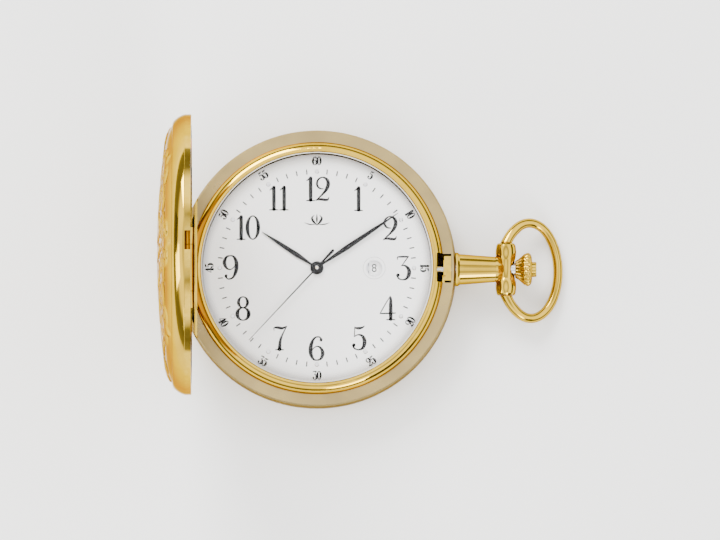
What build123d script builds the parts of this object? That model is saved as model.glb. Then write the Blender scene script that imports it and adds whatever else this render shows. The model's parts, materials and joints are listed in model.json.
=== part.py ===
"""Hunter pocket watch with a quartz calendar movement, one solid per piece.

The origin is the centre of the flat of the case back, on the dial axis. +Z leaves the dial,
+X points at the crown (3 o'clock) and +Y at 12 o'clock. The lid stands open. Millimetres.
"""

import os
from math import asin, cos, degrees, radians, sin

from build123d import *

os.makedirs("parts", exist_ok=True)

# ---- case ----
case_radius = 24.0
band_bottom = 3.0
band_height = 4.2
foot_radius = 16.0
band_wall = 0.8
sheet = 0.6
flange_thickness = 0.8
neck_height = 0.65
opening_radius = 19.9
bezel_radius = 21.8
bezel_height = 2.0
face_clearance = 0.05
running_clearance = 0.05

# ---- lid and hinge ----
lid_depth = 5.94
lid_sheet = 0.45
lid_rim_height = 1.0
lid_rim_width = 1.8
lid_gap = 0.05
hinge_inset = 2.2
hinge_rise = 0.4
knuckle_radius = 0.7
knuckle_clearance = 0.1
pin_radius = 0.3
lid_knuckle_length = 8.0
case_knuckle_length = 2.9
notch_width = 3.25

# ---- pendant, crown and bow ----
stem_drop = 2.1
pendant_length = 6.8
pendant_root_radius = 2.9
pendant_tip_radius = 2.18
head_length = 3.5
head_half_width = 4.45
stem_radius = 0.75
rod_radius = 0.35
tube_clearance = 0.07
tube_wall = 0.3
crown_radius = 2.88
crown_length = 2.7
crown_gap = 0.05
crown_skirt_radius = 1.65
crown_cone_length = 1.45
crown_band_length = 0.8
button_radius = 1.3
button_travel = 0.8
crown_pull = 1.0
bow_half_width = 8.25
bow_half_length = 5.3
bow_reach = 9.95
wire_radius = 0.8
bow_pin_radius = 0.5

# ---- dial, hands and crystal ----
dial_thickness = 0.4
dial_recess = 0.2
window_distance = 9.86
window_radius = 1.3
hour_hand_length = 11.3
minute_hand_length = 16.9
second_hand_length = 17.1
second_tail = 4.0
hour_hand_angle = 146.6
minute_hand_angle = 34.1
second_hand_angle = -133.0
hand_thickness = 0.15
pip_circle = 16.7
crystal_thickness = 1.1

# ---- movement ----
movement_radius = 13.0
train_module = 0.12
addendum = 0.75
dedendum = 1.15
root_half_width = 0.25
tip_half_width = 0.12
battery_radius = 3.4
battery_height = 2.6
date_teeth = 31

# ---- places that follow from those sizes ----
seat = band_bottom + band_height
inner_radius = case_radius - band_wall
dial_top = seat + dial_recess
dial_back = dial_top - dial_thickness
stem_height = seat - stem_drop
bezel_top = seat + bezel_height
neck_radius = opening_radius + 0.4
bore_radius = opening_radius - 0.15
holder_radius = bore_radius - face_clearance
flange_back = seat - flange_thickness
lid_radius = case_radius + 0.05
rim_inner = lid_radius - lid_rim_width
hinge_x = hinge_inset - case_radius
hinge_z = seat + hinge_rise
lid_plane_x = hinge_x + hinge_rise
lid_axis_z = hinge_z - hinge_x
pendant_end = case_radius + pendant_length
head_x = pendant_end + head_length / 2
head_end = pendant_end + head_length
crown_start = head_end + crown_gap
crown_end = crown_start + crown_length
tube_bore = stem_radius + tube_clearance
tube_radius = tube_bore + tube_wall
release_bore = 1.35
collar_x = case_radius - 0.8

plate_back = dial_back - 1.5
plate_front = plate_back + 0.4
bridge_front = dial_back - 3.4
bridge_back = bridge_front - 0.4

# ---- planes and axes of the turned pieces ----
case_section = Plane.XZ
lid_section = Plane(origin=(lid_plane_x, 0, lid_axis_z), x_dir=(0, 0, 1), z_dir=(0, -1, 0))
lid_axis = Axis((lid_plane_x, 0, lid_axis_z), (-1, 0, 0))
stem_section = Plane(origin=(0, 0, stem_height), x_dir=(1, 0, 0), z_dir=(0, -1, 0))
stem_axis = Axis((0, 0, stem_height), (1, 0, 0))


def turn(outline, section, axis, mode=Mode.ADD):
    """Revolve a closed outline of (along, across) points about an axis."""
    with BuildSketch(section) as profile:
        with BuildLine():
            Polyline(*outline, close=True)
        make_face()
    revolve(profile.sketch, axis=axis, mode=mode)


def dome_middle(edge, top):
    """Return the middle point of an arc from an edge (radius, height) to a top on the axis."""
    drop = top - edge[1]
    sphere = (edge[0] ** 2 + drop**2) / (2 * drop)
    half_angle = asin(edge[0] / sphere) / 2
    return (sphere * sin(half_angle), top - sphere * (1 - cos(half_angle)))


def drum(centre, bottom, top, radius, mode=Mode.ADD):
    """Add or cut an upright cylinder between two heights."""
    with BuildSketch(Plane.XY.offset(bottom)) as profile:
        with Locations(centre):
            Circle(radius)
    extrude(profile.sketch, amount=top - bottom, mode=mode)


def ring(bottom, top, inner, outer):
    """Add an upright ring round the dial axis."""
    with BuildSketch(Plane.XY.offset(bottom)) as profile:
        Circle(outer)
        Circle(inner, mode=Mode.SUBTRACT)
    extrude(profile.sketch, amount=top - bottom)


def block(low, high, mode=Mode.ADD):
    """Add or cut a box between its lowest and highest corners."""
    with BuildSketch(Plane.XY.offset(low[2])) as profile:
        with Locations(((low[0] + high[0]) / 2, (low[1] + high[1]) / 2)):
            Rectangle(high[0] - low[0], high[1] - low[1])
    extrude(profile.sketch, amount=high[2] - low[2], mode=mode)


def across(start, end, radius, centre, mode=Mode.ADD):
    """Add or cut a cylinder along Y between two values of y, about centre (x, z)."""
    face = Plane(origin=(centre[0], start, centre[1]), x_dir=(1, 0, 0), z_dir=(0, 1, 0))
    with BuildSketch(face) as profile:
        Circle(radius)
    extrude(profile.sketch, amount=end - start, mode=mode)


def along(start, end, radius, mode=Mode.ADD):
    """Add or cut a cylinder on the stem's axis between two values of x."""
    face = Plane(origin=(start, 0, stem_height), x_dir=(0, 1, 0), z_dir=(1, 0, 0))
    with BuildSketch(face) as profile:
        Circle(radius)
    extrude(profile.sketch, amount=end - start, mode=mode)


def toothed_disc(centre, bottom, height, teeth, module, phase):
    """Add a spur wheel with straight-flanked teeth; one tooth points along phase degrees."""
    pitch = 360 / teeth
    root = (teeth / 2 - dedendum) * module
    tip = (teeth / 2 + addendum) * module
    points = []
    for tooth in range(teeth):
        middle = phase + tooth * pitch
        for radius, share in (
            (root, -root_half_width),
            (tip, -tip_half_width),
            (tip, tip_half_width),
            (root, root_half_width),
        ):
            angle = radians(middle + share * pitch)
            points.append((radius * cos(angle), radius * sin(angle)))
    with BuildSketch(Plane((centre[0], centre[1], bottom))) as profile:
        with BuildLine():
            Polyline(*points, close=True)
        make_face()
    extrude(profile.sketch, amount=height)


def meshing_phase(driver_phase, driver_teeth, teeth, direction):
    """Turn a wheel so that a gap takes the driver's tooth; direction runs driver to wheel."""
    offset = (direction - driver_phase) * driver_teeth / 360
    return direction + 180 - (0.5 - offset) * 360 / teeth


def polar(distance, angle):
    """Return the point at a distance and an angle from the dial axis."""
    return (distance * cos(radians(angle)), distance * sin(radians(angle)))


def shifted(point, distance, angle):
    """Return a point moved by a distance along an angle."""
    step = polar(distance, angle)
    return (point[0] + step[0], point[1] + step[1])


# =============================== case ===============================

with BuildPart() as case_middle:
    with BuildSketch(case_section):
        with BuildLine():
            outer_low = (case_radius - 0.1, band_bottom)
            outer_high = (case_radius - 0.12, seat - 0.3)
            ThreePointArc(outer_low, (case_radius, (band_bottom + seat) / 2), outer_high)
            Polyline(
                outer_high,
                (case_radius - 0.4, seat),
                (neck_radius, seat),
                (neck_radius, seat + neck_height),
                (bore_radius, seat + neck_height),
                (bore_radius, flange_back),
                (inner_radius, flange_back),
                (inner_radius, band_bottom),
                outer_low,
            )
        make_face()
    revolve(axis=Axis.Z)
    # flat bay that takes the hinge block and the foot of the open lid
    block_face = hinge_x + knuckle_radius + 0.05
    bay_inner = block_face + 0.45
    bay_floor = hinge_z - hinge_inset - knuckle_clearance - 0.05
    block((-case_radius - 1, -case_radius, bay_floor), (bay_inner, case_radius, seat + 3), Mode.SUBTRACT)
    # slot for the catch, bores for the release parts
    slot_inner = opening_radius + 0.75
    catch_outer = inner_radius - 0.1
    block((slot_inner, -2.5, flange_back - 1), (catch_outer + 0.05, 2.5, seat + 3), Mode.SUBTRACT)
    along(inner_radius - 1, case_radius + 1, release_bore, Mode.SUBTRACT)
case_middle.part.label = "case_middle"

with BuildPart() as hinge_block:
    with BuildSketch(Plane.XY.offset(bay_floor)):
        Circle(case_radius - 0.12)
        with Locations(((block_face + bay_inner) / 2, 0)):
            Rectangle(bay_inner - block_face, 3 * case_radius, mode=Mode.INTERSECT)
    extrude(amount=seat - bay_floor)
    with BuildSketch(Plane.XY.offset(seat)):
        Circle(rim_inner - 0.4)
        with Locations(((block_face + bay_inner) / 2, 0)):
            Rectangle(bay_inner - block_face, 3 * case_radius, mode=Mode.INTERSECT)
    extrude(amount=0.8)
    drum((0, 0), bay_floor - 1, seat + 3, neck_radius, Mode.SUBTRACT)
    web_top = seat - 0.08
    for side in (-1, 1):
        near = side * (lid_knuckle_length / 2 + knuckle_clearance)
        far = near + side * case_knuckle_length
        across(min(near, far), max(near, far), knuckle_radius, (hinge_x, hinge_z))
        block(
            (hinge_x + 0.35, min(near, far), web_top - 0.17),
            (block_face + 0.1, max(near, far), web_top),
        )
    across(-case_radius, case_radius, pin_radius, (hinge_x, hinge_z), Mode.SUBTRACT)
hinge_block.part.label = "hinge_block"

with BuildPart() as hinge_pin:
    pin_half = lid_knuckle_length / 2 + knuckle_clearance + case_knuckle_length
    across(-pin_half, pin_half, pin_radius, (hinge_x, hinge_z))
hinge_pin.part.label = "hinge_pin"

with BuildPart() as lift_spring:
    with BuildSketch(Plane.XY.offset(bay_floor - 1.3)):
        Circle(holder_radius + 0.75)
        Circle(holder_radius + 0.35, mode=Mode.SUBTRACT)
        with Locations((-case_radius, 0)):
            Rectangle(2 * case_radius, 1.55 * case_radius, mode=Mode.INTERSECT)
        with Locations((-case_radius + 4, case_radius)):
            Rectangle(2 * case_radius, 2 * case_radius - 20, mode=Mode.SUBTRACT)
    extrude(amount=1.2)
lift_spring.part.label = "lift_spring"

with BuildPart() as back_cover:
    shoulder = (case_radius - 0.1, band_bottom)
    rim_outer = inner_radius - face_clearance
    with BuildSketch(case_section):
        with BuildLine():
            Line((0, 0), (foot_radius, 0))
            ThreePointArc((foot_radius, 0), (case_radius - 3.0, 0.3 * band_bottom), shoulder)
            Polyline(
                shoulder,
                (rim_outer, band_bottom),
                (rim_outer, band_bottom + 0.5),
                (rim_outer - sheet, band_bottom + 0.5),
                (rim_outer - sheet, band_bottom - 0.1),
            )
            inner_shoulder = (case_radius - 3.4, 0.3 * band_bottom + 0.65)
            ThreePointArc((rim_outer - sheet, band_bottom - 0.1), inner_shoulder, (foot_radius, sheet))
            Polyline((foot_radius, sheet), (0, sheet), (0, 0))
        make_face()
    revolve(axis=Axis.Z)
back_cover.part.label = "back_cover"

with BuildPart() as back_gasket:
    ring(band_bottom + 0.5, band_bottom + 0.8, rim_outer - sheet, rim_outer)
back_gasket.part.label = "back_gasket"

with BuildPart() as bezel:
    skirt_bore = neck_radius + face_clearance
    ledge_low = seat + neck_height + face_clearance
    glass_seat = ledge_low + 0.3
    with BuildSketch(case_section):
        with BuildLine():
            crest = (opening_radius + 0.55, bezel_top)
            foot = (bezel_radius, seat + 0.35)
            ThreePointArc(foot, (bezel_radius - 0.42, bezel_top - 0.55), crest)
            Polyline(
                crest,
                (opening_radius + 0.2, bezel_top),
                (opening_radius + 0.05, bezel_top - 0.15),
                (opening_radius + 0.05, glass_seat),
                (opening_radius - 0.3, glass_seat),
                (opening_radius - 0.3, ledge_low),
                (skirt_bore, ledge_low),
                (skirt_bore, seat),
                (bezel_radius, seat),
                foot,
            )
        make_face()
    revolve(axis=Axis.Z)
    block((-case_radius - 1, -case_radius, seat - 1), (bay_inner, case_radius, seat + 3), Mode.SUBTRACT)
    block((slot_inner, -2.5, seat - 1), (case_radius, 2.5, seat + 3), Mode.SUBTRACT)
bezel.part.label = "bezel"

with BuildPart() as crystal_gasket:
    ring(glass_seat, bezel_top - 0.15, opening_radius - 0.15, opening_radius + 0.05)
crystal_gasket.part.label = "crystal_gasket"

with BuildPart() as crystal:
    glass_radius = opening_radius - 0.15
    with BuildSketch(case_section):
        with BuildLine():
            glass_rise = 0.35
            low_edge = (glass_radius - 0.4, glass_seat)
            low_top = glass_seat + glass_rise
            high_edge = (glass_radius - 0.1, glass_seat + crystal_thickness)
            high_top = low_top + crystal_thickness
            Line((0, low_top), (0, high_top))
            ThreePointArc((0, high_top), dome_middle(high_edge, high_top), high_edge)
            Polyline(high_edge, (glass_radius, high_edge[1] - 0.1), (glass_radius, glass_seat), low_edge)
            ThreePointArc(low_edge, dome_middle(low_edge, low_top), (0, low_top))
        make_face()
    revolve(axis=Axis.Z)
crystal.part.label = "crystal"

# =============================== lid ===============================


def lid_profile(inset, mode):
    """Fill the half section of the lid, moved inwards by a sheet thickness."""
    foot = (lid_radius - inset, lid_gap + lid_rim_height)
    waist = (lid_radius - 1.15 - inset, 0.51 * lid_depth)
    shoulder = (lid_radius - 5.45 - inset, 0.795 * lid_depth - inset)
    top = lid_depth - inset
    with BuildSketch(lid_section) as profile:
        with BuildLine():
            Polyline((0, top), (0, foot[1]), foot)
            ThreePointArc(foot, (lid_radius - 0.52 - inset, 0.39 * lid_depth), waist)
            ThreePointArc(waist, (lid_radius - 2.9 - inset, 0.69 * lid_depth - inset * 0.8), shoulder)
            ThreePointArc(shoulder, dome_middle(shoulder, top), (0, top))
        make_face()
    revolve(profile.sketch, axis=lid_axis, mode=mode)


with BuildPart() as lid_cover:
    lid_profile(0, Mode.ADD)
    lid_profile(lid_sheet, Mode.SUBTRACT)
lid_cover.part.label = "lid_cover"

with BuildPart() as lid_rim:
    rim_top = lid_gap + lid_rim_height
    turn(
        ((rim_inner, lid_gap), (lid_radius, lid_gap), (lid_radius, rim_top), (rim_inner, rim_top)),
        lid_section,
        lid_axis,
    )
    # the rim is cut back round the case knuckles and notched where the catch stands
    knuckle_reach = pin_half + knuckle_clearance
    knuckle_hollow = knuckle_radius + knuckle_clearance
    half_knuckle = lid_knuckle_length / 2
    across(half_knuckle, knuckle_reach, knuckle_hollow, (hinge_x, hinge_z), Mode.SUBTRACT)
    across(-knuckle_reach, -half_knuckle, knuckle_hollow, (hinge_x, hinge_z), Mode.SUBTRACT)
    across(-half_knuckle, half_knuckle, knuckle_radius, (hinge_x, hinge_z))
    pin_bore = pin_radius + running_clearance
    bore_reach = half_knuckle + 0.2
    across(-bore_reach, bore_reach, pin_bore, (hinge_x, hinge_z), Mode.SUBTRACT)
    notch_low = lid_axis_z + rim_inner - 1
    block(
        (lid_plane_x - rim_top, -notch_width / 2, notch_low),
        (lid_plane_x + 1, notch_width / 2, lid_axis_z + lid_radius + 1),
        Mode.SUBTRACT,
    )
lid_rim.part.label = "lid_rim"

# =============================== pendant and bow ===============================

with BuildPart() as pendant_neck:
    foot_x = case_radius - 0.35
    turn(
        (
            (foot_x, 0),
            (foot_x, pendant_root_radius),
            (case_radius + 0.25, pendant_root_radius),
            (case_radius + 0.6, pendant_root_radius - 0.25),
            (pendant_end, pendant_tip_radius),
            (pendant_end, 0),
        ),
        stem_section,
        stem_axis,
    )
    drum((0, 0), 0, 2 * seat, case_radius, Mode.SUBTRACT)
    drum((0, 0), seat - 0.1, 2 * seat, lid_radius + 0.25, Mode.SUBTRACT)
    along(0, case_radius + 2.2, release_bore, Mode.SUBTRACT)
    along(0, head_end, tube_radius, Mode.SUBTRACT)
pendant_neck.part.label = "pendant_neck"

with BuildPart() as pendant_head:
    head_section = Plane(origin=(head_x, 0, stem_height), x_dir=(0, 1, 0), z_dir=(0, 0, 1))
    head_axis = Axis((head_x, 0, stem_height), (0, 1, 0))
    half = head_half_width
    with BuildSketch(head_section):
        with BuildLine():
            Polyline((-half, 0), (-half, 1.45), (-half + 0.25, 1.6))
            ThreePointArc((-half + 0.25, 1.6), (-2.5, 1.75), (-1.6, 1.55))
            ThreePointArc((-1.6, 1.55), (0, 1.4), (1.6, 1.55))
            ThreePointArc((1.6, 1.55), (2.5, 1.75), (half - 0.25, 1.6))
            Polyline((half - 0.25, 1.6), (half, 1.45), (half, 0), (-half, 0))
        make_face()
    revolve(axis=head_axis)
    turn(
        (
            (pendant_end, 0),
            (pendant_end, pendant_tip_radius + 0.12),
            (pendant_end + 0.4, pendant_tip_radius + 0.12),
            (head_x - 0.2, tube_radius + 0.08),
            (head_x - 0.2, 0),
        ),
        stem_section,
        stem_axis,
    )
    along(pendant_end - 1, head_end + 1, tube_radius, Mode.SUBTRACT)
    across(half - 1.0, half + 1, bow_pin_radius + running_clearance, (head_x, stem_height), Mode.SUBTRACT)
    across(-half - 1, -half + 1.0, bow_pin_radius + running_clearance, (head_x, stem_height), Mode.SUBTRACT)
pendant_head.part.label = "pendant_head"

with BuildPart() as pendant_tube:
    along(case_radius + 2.2, head_end + 0.35, tube_radius)
    along(case_radius, head_end + 1, tube_bore, Mode.SUBTRACT)
    along(head_end - 0.05, head_end + 1, tube_radius - 0.12, Mode.SUBTRACT)
pendant_tube.part.label = "pendant_tube"

with BuildPart() as crown_gasket:
    along(head_end - 0.05, head_end + 0.25, tube_radius - 0.12)
    along(head_end - 1, head_end + 1, stem_radius + 0.03, Mode.SUBTRACT)
crown_gasket.part.label = "crown_gasket"

with BuildPart() as bow:
    bow_drop = degrees(asin((stem_height - wire_radius - 0.03) / bow_reach))
    bow_plane = Plane(
        origin=(head_x, 0, stem_height),
        x_dir=(cos(radians(bow_drop)), 0, -sin(radians(bow_drop))),
        z_dir=(sin(radians(bow_drop)), 0, cos(radians(bow_drop))),
    )
    bow_centre = bow_reach - bow_half_length
    start_angle = degrees(asin((head_half_width + 0.55) / bow_half_width))
    with BuildLine(bow_plane):
        bow_path = EllipticalCenterArc(
            (bow_centre, 0),
            bow_half_length,
            bow_half_width,
            start_angle - 180,
            arc_size=2 * (180 - start_angle),
        )
    with BuildSketch(Plane(origin=bow_path @ 0, z_dir=bow_path % 0)):
        Circle(wire_radius)
    sweep(path=bow_path)
    for side in (-1, 1):
        inner_face = side * (head_half_width + 0.08)
        outer_face = side * (head_half_width + 1.15)
        low = min(inner_face, outer_face)
        across(low, max(inner_face, outer_face), wire_radius + 0.25, (head_x, stem_height))
        pin_tip = side * (head_half_width - 0.9)
        across(min(pin_tip, outer_face), max(pin_tip, outer_face), bow_pin_radius, (head_x, stem_height))
bow.part.label = "bow"

# =============================== crown, stem and catch ===============================

with BuildPart() as crown:
    cone_end = crown_start + crown_cone_length
    turn(
        (
            (crown_start, 0),
            (crown_start, crown_skirt_radius),
            (crown_start + 0.35, crown_skirt_radius),
            (cone_end, crown_radius),
            (cone_end + crown_band_length, crown_radius),
            (crown_end - 0.15, crown_radius - 0.55),
            (crown_end, crown_radius - 0.9),
            (crown_end, 0),
        ),
        stem_section,
        stem_axis,
    )
    flutes = 18
    for flute in range(flutes):
        turn_angle = 360 * flute / flutes
        flute_plane = Plane(origin=(crown_start + 0.5, 0, stem_height), x_dir=(0, 1, 0), z_dir=(1, 0, 0))
        with BuildSketch(flute_plane):
            with PolarLocations(crown_radius + 0.1, 1, turn_angle):
                RegularPolygon(0.42, 4)
        extrude(amount=crown_length, mode=Mode.SUBTRACT)
    along(crown_start - 1, head_end + 0.45, tube_radius + 0.06, Mode.SUBTRACT)
    along(crown_start, crown_end, stem_radius, Mode.SUBTRACT)
    button_recess = crown_end - 0.2 - button_travel - 0.05
    along(button_recess, crown_end + 1, button_radius + 0.06, Mode.SUBTRACT)
crown.part.label = "crown"

square_side = 0.64
lever_groove_x = 11.0
pinion_x = 8.6
stem_tip = 5.0
pin_rest = collar_x + 1.1 + 0.1 + 0.2
with BuildPart() as stem:
    thick_from = case_radius - 5.0
    along(thick_from, button_recess, stem_radius)
    along(thick_from + 1, button_recess, rod_radius + running_clearance, Mode.SUBTRACT)
    along(pinion_x + 1.2, thick_from, 0.5)
    along(stem_tip, stem_tip + 1.6, 0.25)
    with BuildSketch(Plane(origin=(stem_tip + 1.6, 0, stem_height), x_dir=(0, 1, 0), z_dir=(1, 0, 0))):
        Rectangle(square_side, square_side)
    extrude(amount=pinion_x + 1.2 - stem_tip - 1.6)
    # groove for the setting lever's pin, slot for the cross pin
    with BuildSketch(stem_section):
        with Locations((lever_groove_x, 0.5)):
            Rectangle(0.6, 0.4)
    revolve(axis=stem_axis, mode=Mode.SUBTRACT)
    block(
        (pin_rest - 0.25 - button_travel, -1, stem_height - 0.25),
        (pin_rest + 0.25, 1, stem_height + 0.25),
        Mode.SUBTRACT,
    )
stem.part.label = "stem"

with BuildPart() as push_button:
    along(crown_end - 0.2, crown_end + 0.75, button_radius)
    chamfer(push_button.edges().filter_by(GeomType.CIRCLE).sort_by(Axis.X)[-1], 0.12)
push_button.part.label = "push_button"

with BuildPart() as push_rod:
    along(pin_rest - 0.45, crown_end - 0.2, rod_radius)
    across(-1, 1, 0.2, (pin_rest, stem_height), Mode.SUBTRACT)
push_rod.part.label = "push_rod"

with BuildPart() as cross_pin:
    across(-release_bore + 0.15, release_bore - 0.15, 0.2, (pin_rest, stem_height))
cross_pin.part.label = "cross_pin"

with BuildPart() as release_collar:
    along(collar_x, collar_x + 1.1, release_bore - 0.1)
    along(collar_x - 1, collar_x + 2, stem_radius + running_clearance, Mode.SUBTRACT)
release_collar.part.label = "release_collar"

catch_foot_angle = -35.0
catch_circle = inner_radius - 1.3
catch_foot = polar(catch_circle, catch_foot_angle)
with BuildPart() as lock_spring:
    catch_low = stem_height - 0.6
    with BuildSketch(Plane.XY.offset(catch_low)):
        Circle(catch_circle + 0.2)
        Circle(catch_circle - 0.2, mode=Mode.SUBTRACT)
        with BuildLine():
            Polyline(
                (0, 0),
                polar(2 * case_radius, catch_foot_angle),
                polar(2 * case_radius, -3),
                close=True,
            )
        make_face(mode=Mode.INTERSECT)
    extrude(amount=1.7)
    nose_inner = catch_outer - 1.2
    block((nose_inner, -2.1, catch_low), (catch_outer, 2.1, seat - 0.1))
    block((nose_inner - 0.1, -1.3, seat - 0.1), (rim_inner - 0.1, 1.3, seat + 0.75))
    block((nose_inner - 1, -1.15, catch_low - 1), (catch_outer + 1, 1.15, stem_height + 0.9), Mode.SUBTRACT)
    drum(catch_foot, catch_low, catch_low + 1.7, 0.7)
    drum(catch_foot, catch_low - 1, seat, 0.4 + running_clearance, Mode.SUBTRACT)
lock_spring.part.label = "lock_spring"

with BuildPart() as lock_spring_screw:
    drum(catch_foot, catch_low - 0.05, flange_back, 0.4)
    drum(catch_foot, catch_low - 0.35, catch_low - 0.05, 0.7)
    block(
        (catch_foot[0] - 1, catch_foot[1] - 0.1, catch_low - 0.4),
        (catch_foot[0] + 1, catch_foot[1] + 0.1, catch_low - 0.22),
        Mode.SUBTRACT,
    )
lock_spring_screw.part.label = "lock_spring_screw"

# =============================== dial and hands ===============================

foot_points = [polar(movement_radius + 2.0, angle) for angle in (60, 240)]
with BuildPart() as dial:
    ring(dial_back, dial_top, 1.05, holder_radius)
    drum((window_distance, 0), dial_back, dial_top, window_radius, Mode.SUBTRACT)
dial.part.label = "dial"

with BuildPart() as dial_feet:
    for point in foot_points:
        drum(point, dial_back - 1.2, dial_back, 0.35)
dial_feet.part.label = "dial_feet"

with BuildPart() as dial_pips:
    for hour in range(12):
        drum(polar(pip_circle, 30 * hour), dial_top, dial_top + 0.14, 0.36)
    chamfer(dial_pips.edges().filter_by(GeomType.CIRCLE).group_by(Axis.Z)[-1], 0.1)
dial_pips.part.label = "dial_pips"

with BuildPart() as date_frame:
    drum((window_distance, 0), dial_top, dial_top + 0.06, window_radius + 0.14)
    drum((window_distance, 0), dial_top, dial_top + 0.06, window_radius, Mode.SUBTRACT)
date_frame.part.label = "date_frame"


def leaf(bottom, length, angle, hub, width):
    """Add a tapered leaf-shaped hand with a round hub."""
    with BuildSketch(Plane.XY.offset(bottom)) as profile:
        Circle(hub)
        with BuildLine(Plane.XY.rotated((0, 0, angle))):
            Polyline(
                (0, -0.16),
                (hub, -0.16),
                (0.36 * length, -width / 2),
                (0.7 * length, -0.36 * width),
                (length, -0.04),
                (length, 0.04),
                (0.7 * length, 0.36 * width),
                (0.36 * length, width / 2),
                (hub, 0.16),
                (0, 0.16),
                close=True,
            )
        make_face()
    extrude(profile.sketch, amount=hand_thickness)


hour_level = dial_top + 0.15
hand_pitch = 0.26
minute_level = hour_level + hand_pitch
second_level = minute_level + hand_pitch
arbor_radius = 0.15
pipe_inner = arbor_radius + 0.08
pipe_outer = 0.42
hour_pipe_inner = pipe_outer + 0.07
hour_pipe_outer = 0.8

with BuildPart() as hour_hand:
    leaf(hour_level, hour_hand_length, hour_hand_angle, 1.15, 0.86)
    drum((0, 0), hour_level, hour_level + hand_thickness, hour_pipe_outer, Mode.SUBTRACT)
hour_hand.part.label = "hour_hand"

with BuildPart() as minute_hand:
    leaf(minute_level, minute_hand_length, minute_hand_angle, 1.05, 0.86)
    drum((0, 0), minute_level, minute_level + hand_thickness, pipe_outer, Mode.SUBTRACT)
minute_hand.part.label = "minute_hand"

with BuildPart() as second_hand:
    with BuildSketch(Plane.XY.offset(second_level)):
        Circle(0.85)
        with BuildLine(Plane.XY.rotated((0, 0, second_hand_angle))):
            Polyline(
                (-second_tail, -0.26),
                (-0.5, -0.14),
                (second_hand_length, -0.05),
                (second_hand_length, 0.05),
                (-0.5, 0.14),
                (-second_tail, 0.26),
                close=True,
            )
        make_face()
        with Locations(polar(-second_tail, second_hand_angle)):
            Circle(0.26)
    extrude(amount=0.12)
    drum((0, 0), second_level, second_level + 0.25, 0.42)
    drum((0, 0), second_level, second_level + 0.4, arbor_radius, Mode.SUBTRACT)
second_hand.part.label = "second_hand"

# =============================== going train ===============================

pinion_teeth = 8
intermediate_teeth = 32
wheel_teeth = 60
centre_teeth = 64
third_direction = 225.0
intermediate_direction = 100.0
rotor_direction = 40.0
third_distance = train_module * (pinion_teeth + wheel_teeth) / 2
centre_module = 2 * third_distance / (pinion_teeth + centre_teeth)
third_point = polar(third_distance, third_direction)
intermediate_point = polar(third_distance, intermediate_direction)
rotor_distance = train_module * (pinion_teeth + intermediate_teeth) / 2
rotor_point = shifted(intermediate_point, rotor_distance, rotor_direction)
seconds_level = bridge_front + 0.3
third_level = bridge_front + 0.85
centre_level = plate_back - 0.35
wheel_height = 0.2
pinion_height = 0.3
pivot_length = 0.3
pivot_radius = 0.1

seconds_phase = 0.0
intermediate_pinion_phase = meshing_phase(
    seconds_phase, wheel_teeth, pinion_teeth, intermediate_direction
)
rotor_phase = meshing_phase(0.0, intermediate_teeth, pinion_teeth, rotor_direction)
third_phase = meshing_phase(0.0, pinion_teeth, wheel_teeth, third_direction)
centre_phase = meshing_phase(0.0, pinion_teeth, centre_teeth, third_direction + 180)

with BuildPart() as rotor:
    rotor_level = third_level - 0.15
    toothed_disc(rotor_point, rotor_level, 0.35, pinion_teeth, train_module, rotor_phase)
    drum(rotor_point, rotor_level, plate_back - 0.1, 0.2)
    drum(rotor_point, rotor_level + 0.45, rotor_level + 0.95, 0.75)
    drum(rotor_point, bridge_front - pivot_length, rotor_level, pivot_radius)
    drum(rotor_point, plate_back - 0.1, plate_back + pivot_length, pivot_radius)
rotor.part.label = "rotor"

with BuildPart() as intermediate_wheel:
    point = intermediate_point
    toothed_disc(point, rotor_level + 0.08, wheel_height, intermediate_teeth, train_module, 0.0)
    low = seconds_level - 0.05
    toothed_disc(point, low, pinion_height, pinion_teeth, train_module, intermediate_pinion_phase)
    drum(point, low, plate_back - 0.1, 0.2)
    drum(point, bridge_front - pivot_length, low, pivot_radius)
    drum(point, plate_back - 0.1, plate_back + pivot_length, pivot_radius)
intermediate_wheel.part.label = "intermediate_wheel"

with BuildPart() as seconds_wheel:
    toothed_disc((0, 0), seconds_level, wheel_height, wheel_teeth, train_module, seconds_phase)
    low = seconds_level + wheel_height
    toothed_disc((0, 0), low, third_level + 0.25 - low, pinion_teeth, train_module, 0.0)
    drum((0, 0), seconds_level, second_level + 0.35, arbor_radius)
    drum((0, 0), bridge_front - pivot_length, seconds_level, pivot_radius)
seconds_wheel.part.label = "seconds_wheel"

with BuildPart() as third_wheel:
    toothed_disc(third_point, third_level, wheel_height, wheel_teeth, train_module, third_phase)
    low = centre_level - 0.05
    toothed_disc(third_point, low, pinion_height, pinion_teeth, centre_module, 0.0)
    drum(third_point, third_level, plate_back - 0.04, 0.2)
    drum(third_point, bridge_front - pivot_length, third_level, pivot_radius)
    drum(third_point, plate_back - 0.04, plate_back + pivot_length, pivot_radius)
third_wheel.part.label = "third_wheel"

cannon_teeth = 12
minute_teeth = 36
minute_pinion_teeth = 10
hour_teeth = 40
date_pinion_teeth = 20
date_wheel_teeth = 40
setting_teeth = 24
minute_direction = 20.0
date_direction = 130.0
setting_direction = -25.0
minute_distance = train_module * (cannon_teeth + minute_teeth) / 2
minute_point = polar(minute_distance, minute_direction)
hour_module = 2 * minute_distance / (minute_pinion_teeth + hour_teeth)
date_distance = hour_module * (date_pinion_teeth + date_wheel_teeth) / 2
date_point = polar(date_distance, date_direction)
setting_distance = train_module * (minute_teeth + setting_teeth) / 2
setting_point = shifted(minute_point, setting_distance, setting_direction)
cannon_level = plate_front + 0.1
hour_wheel_level = cannon_level + 0.3
date_level = hour_wheel_level + 0.25
cannon_phase = 0.0
minute_phase = meshing_phase(cannon_phase, cannon_teeth, minute_teeth, minute_direction)
hour_phase = meshing_phase(0.0, minute_pinion_teeth, hour_teeth, minute_direction + 180)
date_phase = meshing_phase(0.0, date_pinion_teeth, date_wheel_teeth, date_direction)
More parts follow.
